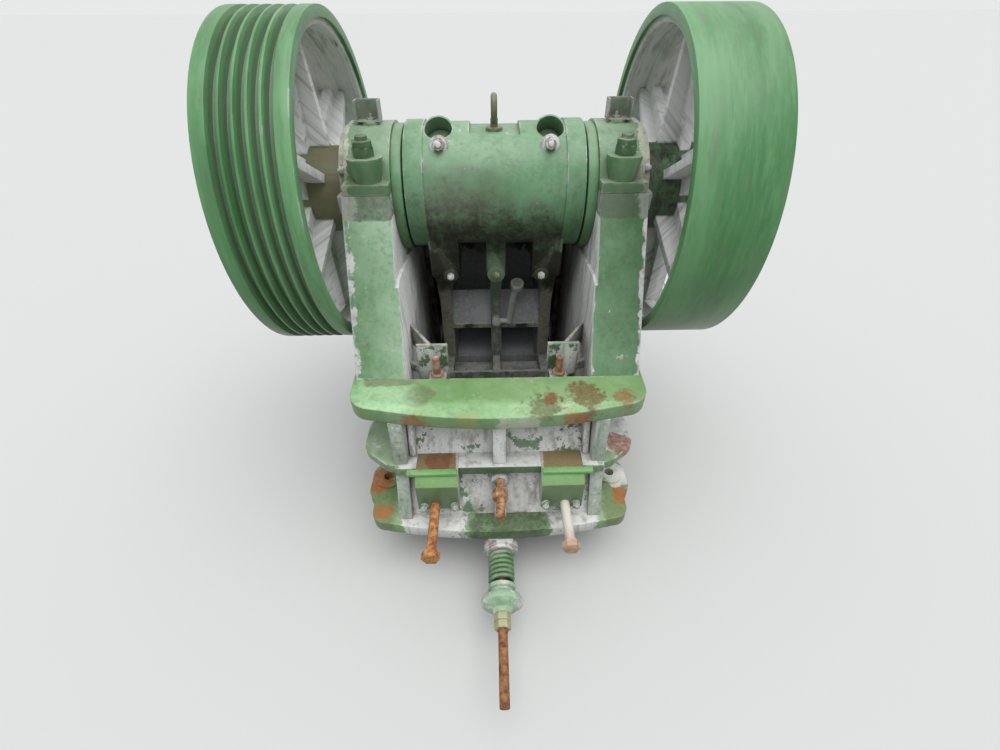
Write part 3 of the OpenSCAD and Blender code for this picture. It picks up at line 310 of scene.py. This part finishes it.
    # Small dark chips go straight to the iron, and dust lies on what faces up
    deep = "".join("%02X" % int(int(fresh[i:i + 2], 16) * 0.72) for i in (0, 2, 4))
    green = add(tree, "ShaderNodeMixRGB", {"Color1": linear(fresh), "Color2": linear(faded)},
                {"Fac": share["fading"]})
    for fac, code in ((share["faded runs"], faded), (share["faded specks"], faded), (thin, faded),
                      (share["deep blotches"], deep), (share["dirt"], grime)):
        green = add(tree, "ShaderNodeMixRGB", {"Color2": linear(code)}, {"Fac": fac, "Color1": green})
    primer = add(tree, "ShaderNodeMixRGB", {"Color1": linear(coat), "Color2": linear(grime)},
                 {"Fac": share["primer runs"]})
    primer = add(tree, "ShaderNodeMixRGB", {"Color2": linear(grime)},
                 {"Fac": share["primer specks"], "Color1": primer})
    iron = add(tree, "ShaderNodeMixRGB", {"Color1": linear("A3602C"), "Color2": linear("4E3B2D")},
               {"Fac": share["iron"]})
    colour = add(tree, "ShaderNodeMixRGB", links={"Fac": flaked, "Color1": green, "Color2": primer})
    colour = add(tree, "ShaderNodeMixRGB", links={"Fac": worn, "Color1": colour, "Color2": iron})
    lying = add(tree, "ShaderNodeMath", links={0: share["lying dust"], 1: share["dusty flakes"]},
                operation="MULTIPLY")
    for fac, code in ((share["chips"], "51402F"), (lying, "AFAB9C")):
        colour = add(tree, "ShaderNodeMixRGB", {"Color2": linear(code)}, {"Fac": fac, "Color1": colour})

    # Stains have ragged edges, and grime colour is mixed in where ambient occlusion finds corners: dirt, and painted
    # shade
    ragged = add(tree, "ShaderNodeMath", links={0: flake, 1: share["ragged"]}, operation="ADD")
    for conditions, code, strength, *soft in stains_and_painted_light:
        reach = soft[0] if soft else 0.06
        near = region(tree, place, conditions)
        spread = add(tree, "ShaderNodeMath", {1: 0.36}, {0: near, 2: ragged}, operation="MULTIPLY_ADD")
        mask = add(tree, "ShaderNodeMapRange",
                   {"From Min": 0.67 - reach, "From Max": 0.67 + reach, "To Max": strength}, {"Value": spread})
        inside = add(tree, "ShaderNodeMapRange", {"From Min": 0.02, "From Max": 0.2}, {"Value": near})
        for part in (inside, share["uneven"]):
            mask = add(tree, "ShaderNodeMath", links={0: mask, 1: part}, operation="MULTIPLY")
        colour = add(tree, "ShaderNodeMixRGB", {"Color2": linear(code)}, {"Fac": mask, "Color1": colour})
    shade_and_grime = add(tree, "ShaderNodeMath", links={0: share["corners"], 1: share["corner flakes"]},
                   operation="MULTIPLY")
    colour = add(tree, "ShaderNodeMixRGB", {"Color2": linear(grime)}, {"Fac": shade_and_grime, "Color1": colour})

    dull = add(tree, "ShaderNodeMath", links={0: flaked, 1: lying}, operation="MAXIMUM")
    rough = add(tree, "ShaderNodeMapRange", {"To Min": gloss, "To Max": 0.8}, {"Value": dull})
    high = add(tree, "ShaderNodeMath", {1: -0.35}, {0: flaked, 2: flake}, operation="MULTIPLY_ADD")
    high = add(tree, "ShaderNodeMath", {1: 0.22}, {0: skin, 2: high}, operation="MULTIPLY_ADD")
    relief = add(tree, "ShaderNodeBump", {"Strength": 0.6, "Distance": 0.0018}, {"Height": high})
    surface = tree.nodes["Principled BSDF"]
    for socket, source in (("Base Color", colour), ("Roughness", rough), ("Normal", relief)):
        tree.links.new(source.outputs[0], surface.inputs[socket])
    return paint


base_paint = enamel(
    "green enamel, orange rust at the anchor holes", "55854A", "86A878", bare=0.36, rust=0.3, coat="DCDCD8",
    flakes=[
        ([("Y", -0.48, -0.52), ("side", 0.27, 0.23)], 0.3),
        ([("X", 0.28, 0.32), ("Y", -0.34, -0.38), ("Y", -0.47, -0.44)], 0.2),
        ([((0.02, -0.56, 0.034), 0.125, 0.075)], -0.4)],
    stains_and_painted_light=[
        ([("side", 0.262, 0.29), ("Y", -0.40, -0.44)], "62703F", 0.9, 0.12),
        ([((-0.335, -0.40, 0.04), 0.06, 0.025)], "9A5418", 1.0),
        ([((0.335, -0.47, 0.034), 0.05, 0.015)], "A05A20", 0.95),
        ([((-0.31, -0.505, 0.034), 0.04, 0.01)], "9E5C22", 0.9),
        ([((0.02, -0.56, 0.034), 0.14, 0.07)], "3B4C2A", 0.95, 0.1),
        ([((0.33, -0.40, 0.04), 0.05, 0.03)], "D8D5CC", 0.8)])
finish_solid("base_flange", base_paint, 0.003)

# Side walls, front wall and rear wall.
# Each side is one iron casting: wall, leaning column and lower bearing housing. The inner faces
# kept their grey primer, and the columns flaked white along their outer edges.
# The right column is painted a darker green than the left one: painted shade, since the light falls more from the left
for side, fresh, faded, outer in (("left", "6A9266", "9AB896", (0.323, 0.337)),
                                  ("right", "4A7446", "719470", (0.330, 0.342))):
    column_paint = enamel(
        side + " column, green enamel flaked at the edges", fresh, faded, bare=0.26, rust=0.12, coat="DEDEDB",
        flakes=[
            ([("side", *outer), ("Y", 0.05, -0.05)], 0.22),
            ([("side", 0.262, 0.25), ("facing Y", -0.6, -0.4), ("Y", 0.44, 0.42)], 0.36),
            ([("Z", 0.335, 0.32), ("Y", -0.34, -0.37)], 0.42)],
        stains_and_painted_light=[
            ([("Z", 0.696, 0.705), ("Y", -0.1, -0.12)], "4C5744", 0.9, 0.1),
            ([("Z", 0.69, 0.71), ("Y", -0.1, -0.12), ("side", 0.30, 0.335)], "B9BAB0", 0.6),
            ([("side", 0.262, 0.25), ("facing Y", -0.6, -0.4), ("Z", 0.66, 0.52)], "B2B1AC", 0.3),
            ([("Z", 0.372, 0.36), ("Y", -0.3, -0.33), ("facing Y", -0.3, -0.5)], "4A7440", 0.6)])
    finish_solid("side_wall_" + side, column_paint, 0.004)
machine_green = enamel("chipped green enamel on cast iron", "5F8A58", "84A37E", bare=0.34, rust=0.2)
grey_flaked = enamel(
    "flaked grey primer on cast iron", "52704E", "7D9678", bare=0.98, rust=0.0, dust=0.1, coat="DDDDDA",
    flakes=[
        ([("Y", -0.3, -0.15)], 0.1)],
    stains_and_painted_light=[
        ([("Z", 0.15, 0.09), ("side", 0.1, 0.06)], "8D867A", 0.5)])
finish_solid("front_wall", machine_green, 0.004)
finish_solid("rear_wall", grey_flaked, 0.002)

# Rear beam, mid flange and ribs.
# Cross pieces of the rear casting. The beam took the thickest coat of enamel, and the wall and
# ribs under it never got more than primer and a little overspray.
beam_paint = enamel(
    "thick yellowish green enamel", "659650", "A0C08E", bare=0.34, rust=0.6, dust=0.15, coat="DADAD0",
    stains_and_painted_light=[
        ([("Y", -0.455, -0.43), ("facing Z", 0.5, 0.8)], "5B7F3F", 0.6, 0.15),
        # A pale mint band along the top near the rear edge is a painted highlight, and the darker, greyer upright and
        # lower faces are painted shade
        ([("Y", -0.425, -0.45), ("X", 0.12, 0.0), ("facing Z", 0.3, 0.7)], "9CC88E", 0.3, 0.15),
        ([("facing Z", 0.5, 0.2)], "66805C", 0.65, 0.12),
        ([("facing Z", 0.3, 0.1), ("Z", 0.327, 0.318)], "4E6048", 0.6, 0.12),
        ([((0.10, -0.45, 0.355), 0.075, 0.0)], "5A5A2C", 0.9),
        ([((0.20, -0.425, 0.357), 0.08, 0.0)], "6C4E28", 0.9),
        ([((0.12, -0.425, 0.357), 0.04, 0.0)], "7A4424", 0.9),
        ([((-0.20, -0.49, 0.325), 0.07, 0.0)], "94502C", 0.85),
        ([((0.17, -0.478, 0.335), 0.05, 0.0)], "9A5630", 0.8),
        ([((0.29, -0.43, 0.345), 0.05, 0.0)], "8C5230", 0.8),
        ([((-0.07, -0.487, 0.34), 0.045, 0.0)], "A58A50", 0.35),
        ([((-0.19, -0.415, 0.357), 0.05, 0.02)], "626B48", 0.8, 0.1),
        # A pale mint patch on the top at the left end: painted sky sheen
        ([((-0.29, -0.43, 0.358), 0.13, 0.04), ("facing Z", 0.5, 0.8)], "B9DDB2", 0.55, 0.2),
        ([((0.05, -0.49, 0.32), 0.10, 0.0), ("facing Z", 0.5, 0.3)], "C8CCB8", 0.7),
        ([((-0.26, -0.38, 0.36), 0.09, 0.03), ("Y", -0.39, -0.37)], "6A6A4C", 0.8)])
finish_solid("rear_beam", beam_paint, 0.006, 3, sharp_from=-0.375)
ear_paint = enamel(
    "dark green enamel overspray on the mid flange", "557C4C", "93AE88", bare=0.4, rust=0.3, coat="D8D8D5",
    flakes=[
        ([("X", 0.24, 0.28), ("Y", -0.47, -0.43)], 0.3),
        ([("side", 0.27, 0.22), ("facing Z", 0.4, 0.8)], 0.3),
        ([("side", 0.22, 0.2), ("facing Z", 0.6, 0.3)], -0.35)],
    stains_and_painted_light=[
        ([("side", 0.22, 0.2), ("facing Z", 0.6, 0.3)], "3A4F33", 0.9, 0.12),
        ([((0.31, -0.42, 0.19), 0.05, 0.02)], "8A5030", 0.9)])
finish_solid("mid_flange", ear_paint, 0.003)
finish_solid("upper_rear_ribs", enamel(
    "white primer on the upper ribs", "52704E", "7D9678", bare=1.25, rust=0.0, dust=0.1, coat="E8E8E6"), 0.003)
finish_solid("lower_rear_ribs", grey_flaked, 0.003)

# Bearing caps, seal rings and grease guards.
# Rounded iron caps held by two studs each, with a steel ring on the inner side and a bent sheet
# guard round the grease nipple.
cap_paint = enamel(
    "green enamel on the bearing caps, cream where flaked", "578453", "7FA27B", bare=0.28, rust=0.3, gloss=0.36,
    coat="D6D0C0",
    flakes=[
        ([("side", 0.316, 0.34)], 0.3)],
    stains_and_painted_light=[
        # Painted shade and painted sky light: the lower rear of each cap is darker green and its top paler green
        ([("Y", -0.09, -0.13), ("Z", 0.84, 0.76)], "4C6446", 0.55, 0.15),
        ([("facing Z", 0.5, 0.9)], "8FA78C", 0.4, 0.15)])
stud_paint = enamel("dark green enamel on steel studs", "3F5F3C", "5F7D55", bare=0.2, rust=0.5)
# The lower half of each ring is painted darker green: painted shade under the shaft
ring_paint = enamel("green enamel on turned rings", "4F8552", "79A378", bare=0.2, rust=0.15, gloss=0.36, turned=True,
                    stains_and_painted_light=[([("Z", 0.80, 0.60)], "2E5233", 0.8, 0.2)])
sheet_paint = enamel("green overspray on sheet steel", "5F7A58", "A9AFA4", bare=0.5, rust=0.3)
for side in ("left", "right"):
    finish_solid("bearing_cap_" + side, cap_paint, 0.004, 3)
    finish_solid("cap_studs_" + side, stud_paint, 0.001)
    finish_solid("seal_ring_" + side, ring_paint, 0.002)
    finish_solid("grease_guard_" + side, sheet_paint, 0.0)

# Bolts.
# Forged hexagon bolts and washers: on the caps, the guide blocks, the outside of the walls where
# they hold the wear plates, and at the top and legs of the pitman. White primer clings to them.


def bolts(name, body, material, places):
    """Hexagon bolts in one piece, which rides on the body. Each place is the foot of the head, the way that
    the axis points, the size across flats and the washer's radius or 0."""
    shell = bmesh.new()
    for foot, axis, flats, washer in places:
        turn = Matrix.Translation(foot) @ Vector(axis).to_track_quat("Z", "Y").to_matrix().to_4x4()
        rise = 0.16 * flats if washer else 0.0
        corner = 0.577 * flats
        # Segments, lower and upper radius, length and middle: the head, the rounded end and the washer
        rounds = [(6, corner, corner, 0.62 * flats, rise + 0.31 * flats),
                  (24, 0.31 * flats, 0.27 * flats, 0.3 * flats, rise + 0.76 * flats)]
        if washer:
            rounds.insert(0, (40, washer, washer, rise + 0.002, rise / 2 - 0.001))
        for segments, low, high, depth, middle in rounds:
            bmesh.ops.create_cone(shell, cap_ends=True, segments=segments, radius1=low, radius2=high, depth=depth,
                                  matrix=turn @ Matrix.Translation((0, 0, middle)))
    rims = [e for e in shell.edges if e.calc_face_angle(0) > radians(50)]
    bmesh.ops.bevel(shell, geom=rims, offset=0.0008, offset_type="OFFSET", segments=2, profile=0.5, affect="EDGES",
                    clamp_overlap=True, material=-1, loop_slide=True)
    for face in shell.faces:
        face.smooth = True
    mesh = bpy.data.meshes.new(name)
    shell.to_mesh(mesh)
    shell.free()
    mesh.set_sharp_from_angle(angle=radians(35))
    mesh.materials.append(material)
    piece = bpy.data.objects.new(name, mesh)
    scene.collection.objects.link(piece)
    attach(piece, body)


bolt_paint = enamel(
    "green enamel on small bolts, white primer where flaked", "56724F", "7C9A75", bare=0.6, rust=0.45, dust=0.1,
    coat="D6D6D2")
bare_bolt_paint = enamel(
    "flaked white primer on bolt heads", "7F9278", "A5AA9C", bare=0.9, rust=0.0, dust=0.1, coat="DADAD6")
cap_end, block_face, front_face, wall_side = 0.3412, -0.5338, 0.4875, 0.2618
leg_face, barrel_face = -0.1118, -0.093
bolts("cap_bolts", "frame", bare_bolt_paint,
      [((side * cap_end, sy * 0.127, 0.79), (side, 0, 0), 0.016, 0) for side in (-1, 1) for sy in (-1, 1)])
bolts("block_bolts", "frame", bolt_paint,
      [((side * (0.155 + out), block_face, 0.098), (0, -1, 0), 0.017, 0.011)
       for side in (-1, 1) for out in (-0.041, 0.036)])
bolts("wear_plate_bolts", "frame", bolt_paint,
      [((x, front_face, z), (0, 1, 0), 0.03, 0.024) for x in (-0.11, 0.11) for z in (0.30, 0.52)]
      + [((side * wall_side, 0.33, z), (side, 0, 0), 0.024, 0.019) for side in (-1, 1) for z in (0.32, 0.55)])
bolts("pitman_bolts", "swing_jaw", bare_bolt_paint,
      [((side * 0.12, leg_face, 0.518), (0, -1, 0), 0.017, 0) for side in (-1, 1)]
      + [((side * 0.127, barrel_face, 0.833), (0, -0.97, 0.26), 0.022, 0.021) for side in (-1, 1)])
bolts("greased_bolt", "swing_jaw", enamel("old yellow grease on a bolt head", "6A6440", "8A8052", bare=0.3, rust=0.5),
      [((0, -0.1158, 0.522), (0, -1, 0), 0.017, 0)])

# Jaw plates, cheek plates and toggle.
# Toothed wear plates of manganese steel, as cast and dark, with the teeth rubbed grey by stone,
# and plain cheek plates between them.
manganese = bpy.data.materials.new("manganese steel, cast and rubbed by stone")
manganese.use_nodes = True
tree = manganese.node_tree
place = add(tree, "ShaderNodeTexCoord").outputs["Object"]
# Stone rubbed it grey in patches of 60 mm, and the cast skin has a grit of 3 mm, coarser than the real
# one so that it shows. To the eye it is a dark metal with a dull shine.
patch = add(tree, "ShaderNodeTexNoise", {"Scale": 1 / 0.06, "Detail": 6, "Roughness": 0.65}, {"Vector": place})
grit = add(tree, "ShaderNodeTexNoise", {"Scale": 1 / 0.003, "Detail": 3}, {"Vector": place})
tone = add(tree, "ShaderNodeValToRGB", links={"Fac": patch.outputs["Fac"]})
tone.color_ramp.elements[0].position = 0.4
tone.color_ramp.elements[0].color = linear("57493D")
tone.color_ramp.elements[1].position = 0.6
tone.color_ramp.elements[1].color = linear("7C7870")
relief = add(tree, "ShaderNodeBump", {"Strength": 0.6, "Distance": 0.001}, {"Height": grit.outputs["Fac"]})
surface = tree.nodes["Principled BSDF"]
surface.inputs["Roughness"].default_value = 0.62
surface.inputs["Metallic"].default_value = 0.4
tree.links.new(tone.outputs[0], surface.inputs["Base Color"])
tree.links.new(relief.outputs[0], surface.inputs["Normal"])
for name in ("fixed_jaw_plate", "moving_jaw_plate", "cheek_plate_left", "cheek_plate_right", "toggle_block",
             "toggle_plate"):
    finish_solid(name, manganese, 0.0015)

# Adjusting blocks, shims and long bolts.
# Cast guide blocks on the rear wall with a flat bar on top, and long threaded bolts through them
# that push the toggle block. The bolts have rusted, and their 3 mm threads hold the rust.
thread_pitch = 0.003


def rusted(name, dark, light, pale=None, conditions=()):
    """Mild steel rusted all over, matt and orange to brown in patches of 14 mm, with the turns of a thread
    along Y. A wave of scale 1 repeats every 0.314 m. pale and conditions are the colour and place of a stain."""
    steel = bpy.data.materials.new(name)
    steel.use_nodes = True
    tree = steel.node_tree
    place = add(tree, "ShaderNodeTexCoord").outputs["Object"]
    patch = add(tree, "ShaderNodeTexNoise", {"Scale": 1 / 0.014, "Detail": 8, "Roughness": 0.7}, {"Vector": place})
    thread = add(tree, "ShaderNodeTexWave", {"Scale": 0.314 / thread_pitch, "Distortion": 0.3}, {"Vector": place},
                 bands_direction="Y").outputs["Fac"]
    tone = add(tree, "ShaderNodeValToRGB", links={"Fac": patch})
    tone.color_ramp.elements[0].position = 0.4
    tone.color_ramp.elements[0].color = linear(dark)
    tone.color_ramp.elements[1].position = 0.6
    tone.color_ramp.elements[1].color = linear(light)
    colour = tone.outputs[0]
    if pale:
        colour = add(tree, "ShaderNodeMixRGB", {"Color2": linear(pale)},
                     {"Fac": region(tree, place, conditions), "Color1": colour}).outputs[0]
    high = add(tree, "ShaderNodeMath", links={0: patch, 1: thread}, operation="ADD").outputs[0]
    relief = add(tree, "ShaderNodeBump", {"Strength": 0.7, "Distance": 0.0012}, {"Height": high}).outputs[0]
    surface = tree.nodes["Principled BSDF"]
    surface.inputs["Roughness"].default_value = 0.85
    tree.links.new(colour, surface.inputs["Base Color"])
    tree.links.new(relief, surface.inputs["Normal"])
    return steel


block_paint = enamel(
    "dark green enamel on the guide blocks", "5A7A48", "7E9A70", bare=0.3, rust=0.4, coat="D8D8D4",
    stains_and_painted_light=[
        ([("facing Z", 0.5, 0.8)], "8C6A42", 0.9, 0.1),
        ([((-0.155, -0.47, 0.19), 0.05, 0.02), ("facing Z", 0.5, 0.8)], "7A4224", 0.8),
        # The sloped faces are painted a brighter green and the upright faces darker: painted light and painted shade
        ([("facing Z", 0.3, 0.5), ("facing Z", 0.8, 0.75)], "74A864", 0.85),
        ([("facing Z", 0.3, 0.1)], "4F6442", 0.6),
        ([("side", 0.113, 0.106), ("facing Y", -0.6, -0.3)], "CFCFCA", 0.8)])
bracket_paint = enamel("green enamel on welded brackets", "2C4329", "5E7A58", bare=0.85, rust=0.2, coat="B9BCB4",
                       stains_and_painted_light=[([("Y", -0.314, -0.322), ("Z", 0.348, 0.354)], "8E5A34", 0.9)])
for side in ("left", "right"):
    finish_solid("adjusting_block_" + side, block_paint, 0.003)
    finish_solid("lug_bracket_" + side, bracket_paint, 0.001)
finish_solid("shim_plates", enamel(
    "bright green enamel on flat bar", "66A058", "7DB46E", bare=0.15, rust=0.2, dust=0.1), 0.001)
finish_solid("adjusting_bolts", rusted(
    "rusted long bolts", "8A4F28", "D09860", "E2DACD", [("X", 0.0, 0.01), ("Y", -0.70, -0.59)]), 0.001)
finish_solid("centre_bolt", rusted("rusted centre bolt", "7A4E30", "C69B73"), 0.001)

# Tension rod, spring and seat.
# A rusty rod runs out under the base flange. A coil spring of dark green wire is pressed between
# a cup on the flange and a turned seat, which a nut and lock nut hold.
finish_solid("tension_rod", rusted("rusted tension rod", "6A3E22", "A0714A"), 0.001)
finish_solid("rod_nuts", enamel("yellow green paint on rusty nuts", "8F9060", "B0A878", bare=0.35, rust=0.8), 0.001)
finish_solid("spring_cup", enamel(
    "grey primer on the spring cup", "6E8A6A", "8FA38B", bare=0.95, rust=0.0, coat="D6D6D4"), 0.003)
finish_solid("tension_spring", enamel("dark green enamel on spring wire", "3F6A3C", "5F8A58", bare=0.2, rust=0.2))
finish_solid("spring_seat", enamel(
    "green enamel on the spring seat, white where flaked", "7A9E78", "A4C0A0", bare=0.6, rust=0.1,
    coat="D5D5D2"), 0.003, 3)

# Shaft and wheels.
# Turned steel shaft with two cast iron wheels: the left one is grooved for five belts. The rims
# are green, and the insides and arms have flaked down to the grey primer.

# Marks of the lathe 1.5 mm apart run round the shaft, coarser than the real ones so that they show, and
# give it a streaked shine. Old grease dulls it in patches of 30 mm.
steel = bpy.data.materials.new("turned steel, dull with old grease")
steel.use_nodes = True
tree = steel.node_tree
place = add(tree, "ShaderNodeTexCoord").outputs["Object"]
drawn = add(tree, "ShaderNodeMapping", {"Scale": (1, 0.05, 0.05)}, {"Vector": place}).outputs[0]
lines = add(tree, "ShaderNodeTexNoise", {"Scale": 1 / 0.0015, "Detail": 3}, {"Vector": drawn})
patch = add(tree, "ShaderNodeTexNoise", {"Scale": 1 / 0.03, "Detail": 5}, {"Vector": place})
tone = add(tree, "ShaderNodeValToRGB", links={"Fac": patch.outputs["Fac"]})
tone.color_ramp.elements[0].position = 0.4
tone.color_ramp.elements[0].color = linear("6A5F50")
tone.color_ramp.elements[1].position = 0.6
tone.color_ramp.elements[1].color = linear("A09C94")
relief = add(tree, "ShaderNodeBump", {"Strength": 0.25, "Distance": 0.0003}, {"Height": lines.outputs["Fac"]})
surface = tree.nodes["Principled BSDF"]
surface.inputs["Metallic"].default_value = 0.7
surface.inputs["Roughness"].default_value = 0.45
tree.links.new(tone.outputs[0], surface.inputs["Base Color"])
tree.links.new(relief.outputs[0], surface.inputs["Normal"])
finish_solid("eccentric_shaft", steel, 0.001)
for name, hub, rim_band_shade, foot in (("pulley_flywheel", "7A6A50", "2F5A33", 0.3),
                              ("plain_flywheel", "231E16", "1F4426", 0.65)):
    wheel_paint = enamel(
        name + ", green rim and flaked grey inside", "417B43", "6FA26E", bare=0.0, rust=0.1, dust=0.12, gloss=0.36,
        coat="E6E6E4", grime="7E7A70", turned=True,
        flakes=[
            ([("shaft", 0.356, 0.345)], 0.5),
            ([("shaft", 0.108, 0.102)], -0.6)],
        stains_and_painted_light=[
            # The right wheel's near-black hub is grease, with painted shade
            ([("shaft", 0.112, 0.10)], hub, 1.0, 0.2),
            ([("shaft", 0.345, 0.33), ("shaft", 0.12, 0.2)], "B5B3AC", 0.3),
            # A darker green band in the groove bottoms and on the near side face: painted shade
            ([("shaft", 0.372, 0.360), ("side", 0.368, 0.371), ("side", 0.546, 0.543), ("shaft", 0.353, 0.3545)],
             rim_band_shade, 0.7),
            # Greyer and darker towards the bottom of the rim, more on the plain wheel: painted shade, with some dirt
            ([("Z", 0.56, 0.38), ("shaft", 0.356, 0.358)], "6B6A58", foot, 0.2)])
    finish_solid(name, wheel_paint, 0.002)

# A flat key lies in each end of the shaft, which has a centre hole from the lathe
shaft_end, key_rise, key_size = 0.5665, 0.055, (0.003, 0.028, 0.016)
ends = bmesh.new()
for side in (-1, 1):
    middle = Matrix.Translation((side * shaft_end, 0, shaft_height + key_rise))
    bmesh.ops.create_cube(ends, size=1, matrix=middle @ Matrix.Diagonal((*key_size, 1)))
bmesh.ops.bevel(ends, geom=ends.edges[:], offset=0.0008, offset_type="OFFSET", segments=2, profile=0.5,
                affect="EDGES", clamp_overlap=True, material=-1, loop_slide=True)
mesh = bpy.data.meshes.new("shaft_keys")
ends.to_mesh(mesh)
ends.free()
mesh.materials.append(steel)
keys = bpy.data.objects.new("shaft_keys", mesh)
scene.collection.objects.link(keys)
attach(keys, "rotor")

# Pitman, eye bolt and grease pipe.
# The swing jaw casting: a barrel over the eccentric and three ribs down to the toggle box. Its
# underside and ribs are painted darker and browner towards the bottom, nearly black on the outer ribs: dirt, and
# painted shade under the barrel and between the walls. The panel between the ribs is bare grey.
pitman_paint = enamel(
    "green enamel on the pitman, dirty underneath", "548658", "80A680", bare=0.26, rust=0.2, dust=0.2,
    coat="D2D2CE",
    flakes=[
        ([("Z", 0.385, 0.37), ("side", 0.142, 0.134)], 0.45)],
    stains_and_painted_light=[
        # Darker bands lower on the barrel, down to nearly black: painted shade as well as dirt
        ([("side", 0.163, 0.169), ("Z", 0.82, 0.60), ("Z", 0.5, 0.52)], "2E5233", 0.8, 0.2),
        ([("Z", 0.83, 0.70), ("X", 0.08, -0.06), ("side", 0.169, 0.163), ("Z", 0.55, 0.57)], "605E50", 0.85, 0.2),
        ([("Z", 0.76, 0.60), ("side", 0.169, 0.163), ("Z", 0.55, 0.57)], "484C40", 0.9, 0.2),
        ([("Z", 0.74, 0.59), ("side", 0.169, 0.163)], "27271E", 0.92, 0.25),
        ([("Z", 0.60, 0.55)], "66735E", 0.75),
        # The outer ribs are painted nearly black, twice over: painted shade between the walls as well as dirt
        ([("Z", 0.60, 0.56), ("side", 0.05, 0.08)], "26231A", 1.0, 0.1),
        ([("Z", 0.60, 0.56), ("side", 0.05, 0.08)], "26231A", 0.8, 0.1),
        ([("Y", 0.004, 0.009), ("Z", 0.5, 0.42)], "9C9D9D", 1.0),
        ([("Y", 0.07, 0.09), ("Z", 0.33, 0.30)], "A4A5A8", 1.0),
        ([("Z", 0.47, 0.38), ("side", 0.09, 0.11), ("Y", 0.02, 0.0)], "94917F", 0.9, 0.15)])
finish_solid("pitman", pitman_paint, 0.005, 3)
finish_solid("eye_bolt", enamel("dark olive paint on the lifting eye", "5A5F42", "7A7A58", bare=0.4, rust=0.9), 0.001)
finish_solid("grease_pipe", enamel(
    "dull zinc on the grease pipe", "8C8D88", "B2B3AE", bare=0.2, rust=0.4, gloss=0.45), 0.001)

# Cast tray with three ribs along the foot of the toggle box, which keeps stones off the toggle plate
tray = bmesh.new()
rib = ((0.006, 0.131), (0.006, 0.168), (-0.070, 0.171), (-0.080, 0.160), (-0.080, 0.131))
sheet = ((0.006, 0.131), (0.006, 0.139), (-0.064, 0.139), (-0.066, 0.160), (-0.071, 0.164), (-0.076, 0.160),
         (-0.076, 0.131))
for left, right, outline in ((-0.168, 0.168, sheet), (-0.170, -0.138, rib), (-0.012, 0.012, rib), (0.138, 0.170, rib)):
    corners = [tray.verts.new((left, y, z)) for y, z in outline]
    grown = bmesh.ops.extrude_face_region(tray, geom=[tray.faces.new(corners)])["geom"]
    far_side = [part for part in grown if isinstance(part, bmesh.types.BMVert)]
    bmesh.ops.translate(tray, verts=far_side, vec=(right - left, 0, 0))
bmesh.ops.recalc_face_normals(tray, faces=tray.faces)
bmesh.ops.bevel(tray, geom=tray.edges[:], offset=0.0015, offset_type="OFFSET", segments=2, profile=0.5,
                affect="EDGES", clamp_overlap=True, material=-1, loop_slide=True)
mesh = bpy.data.meshes.new("toggle_tray")
tray.to_mesh(mesh)
tray.free()
mesh.materials.append(enamel(
    "dusty primer on the toggle tray", "56604F", "7D8278", bare=0.85, rust=0.1, dust=0.2, coat="8C8D8A",
    grime="55524A"))
toggle_tray = bpy.data.objects.new("toggle_tray", mesh)
scene.collection.objects.link(toggle_tray)
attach(toggle_tray, "swing_jaw")
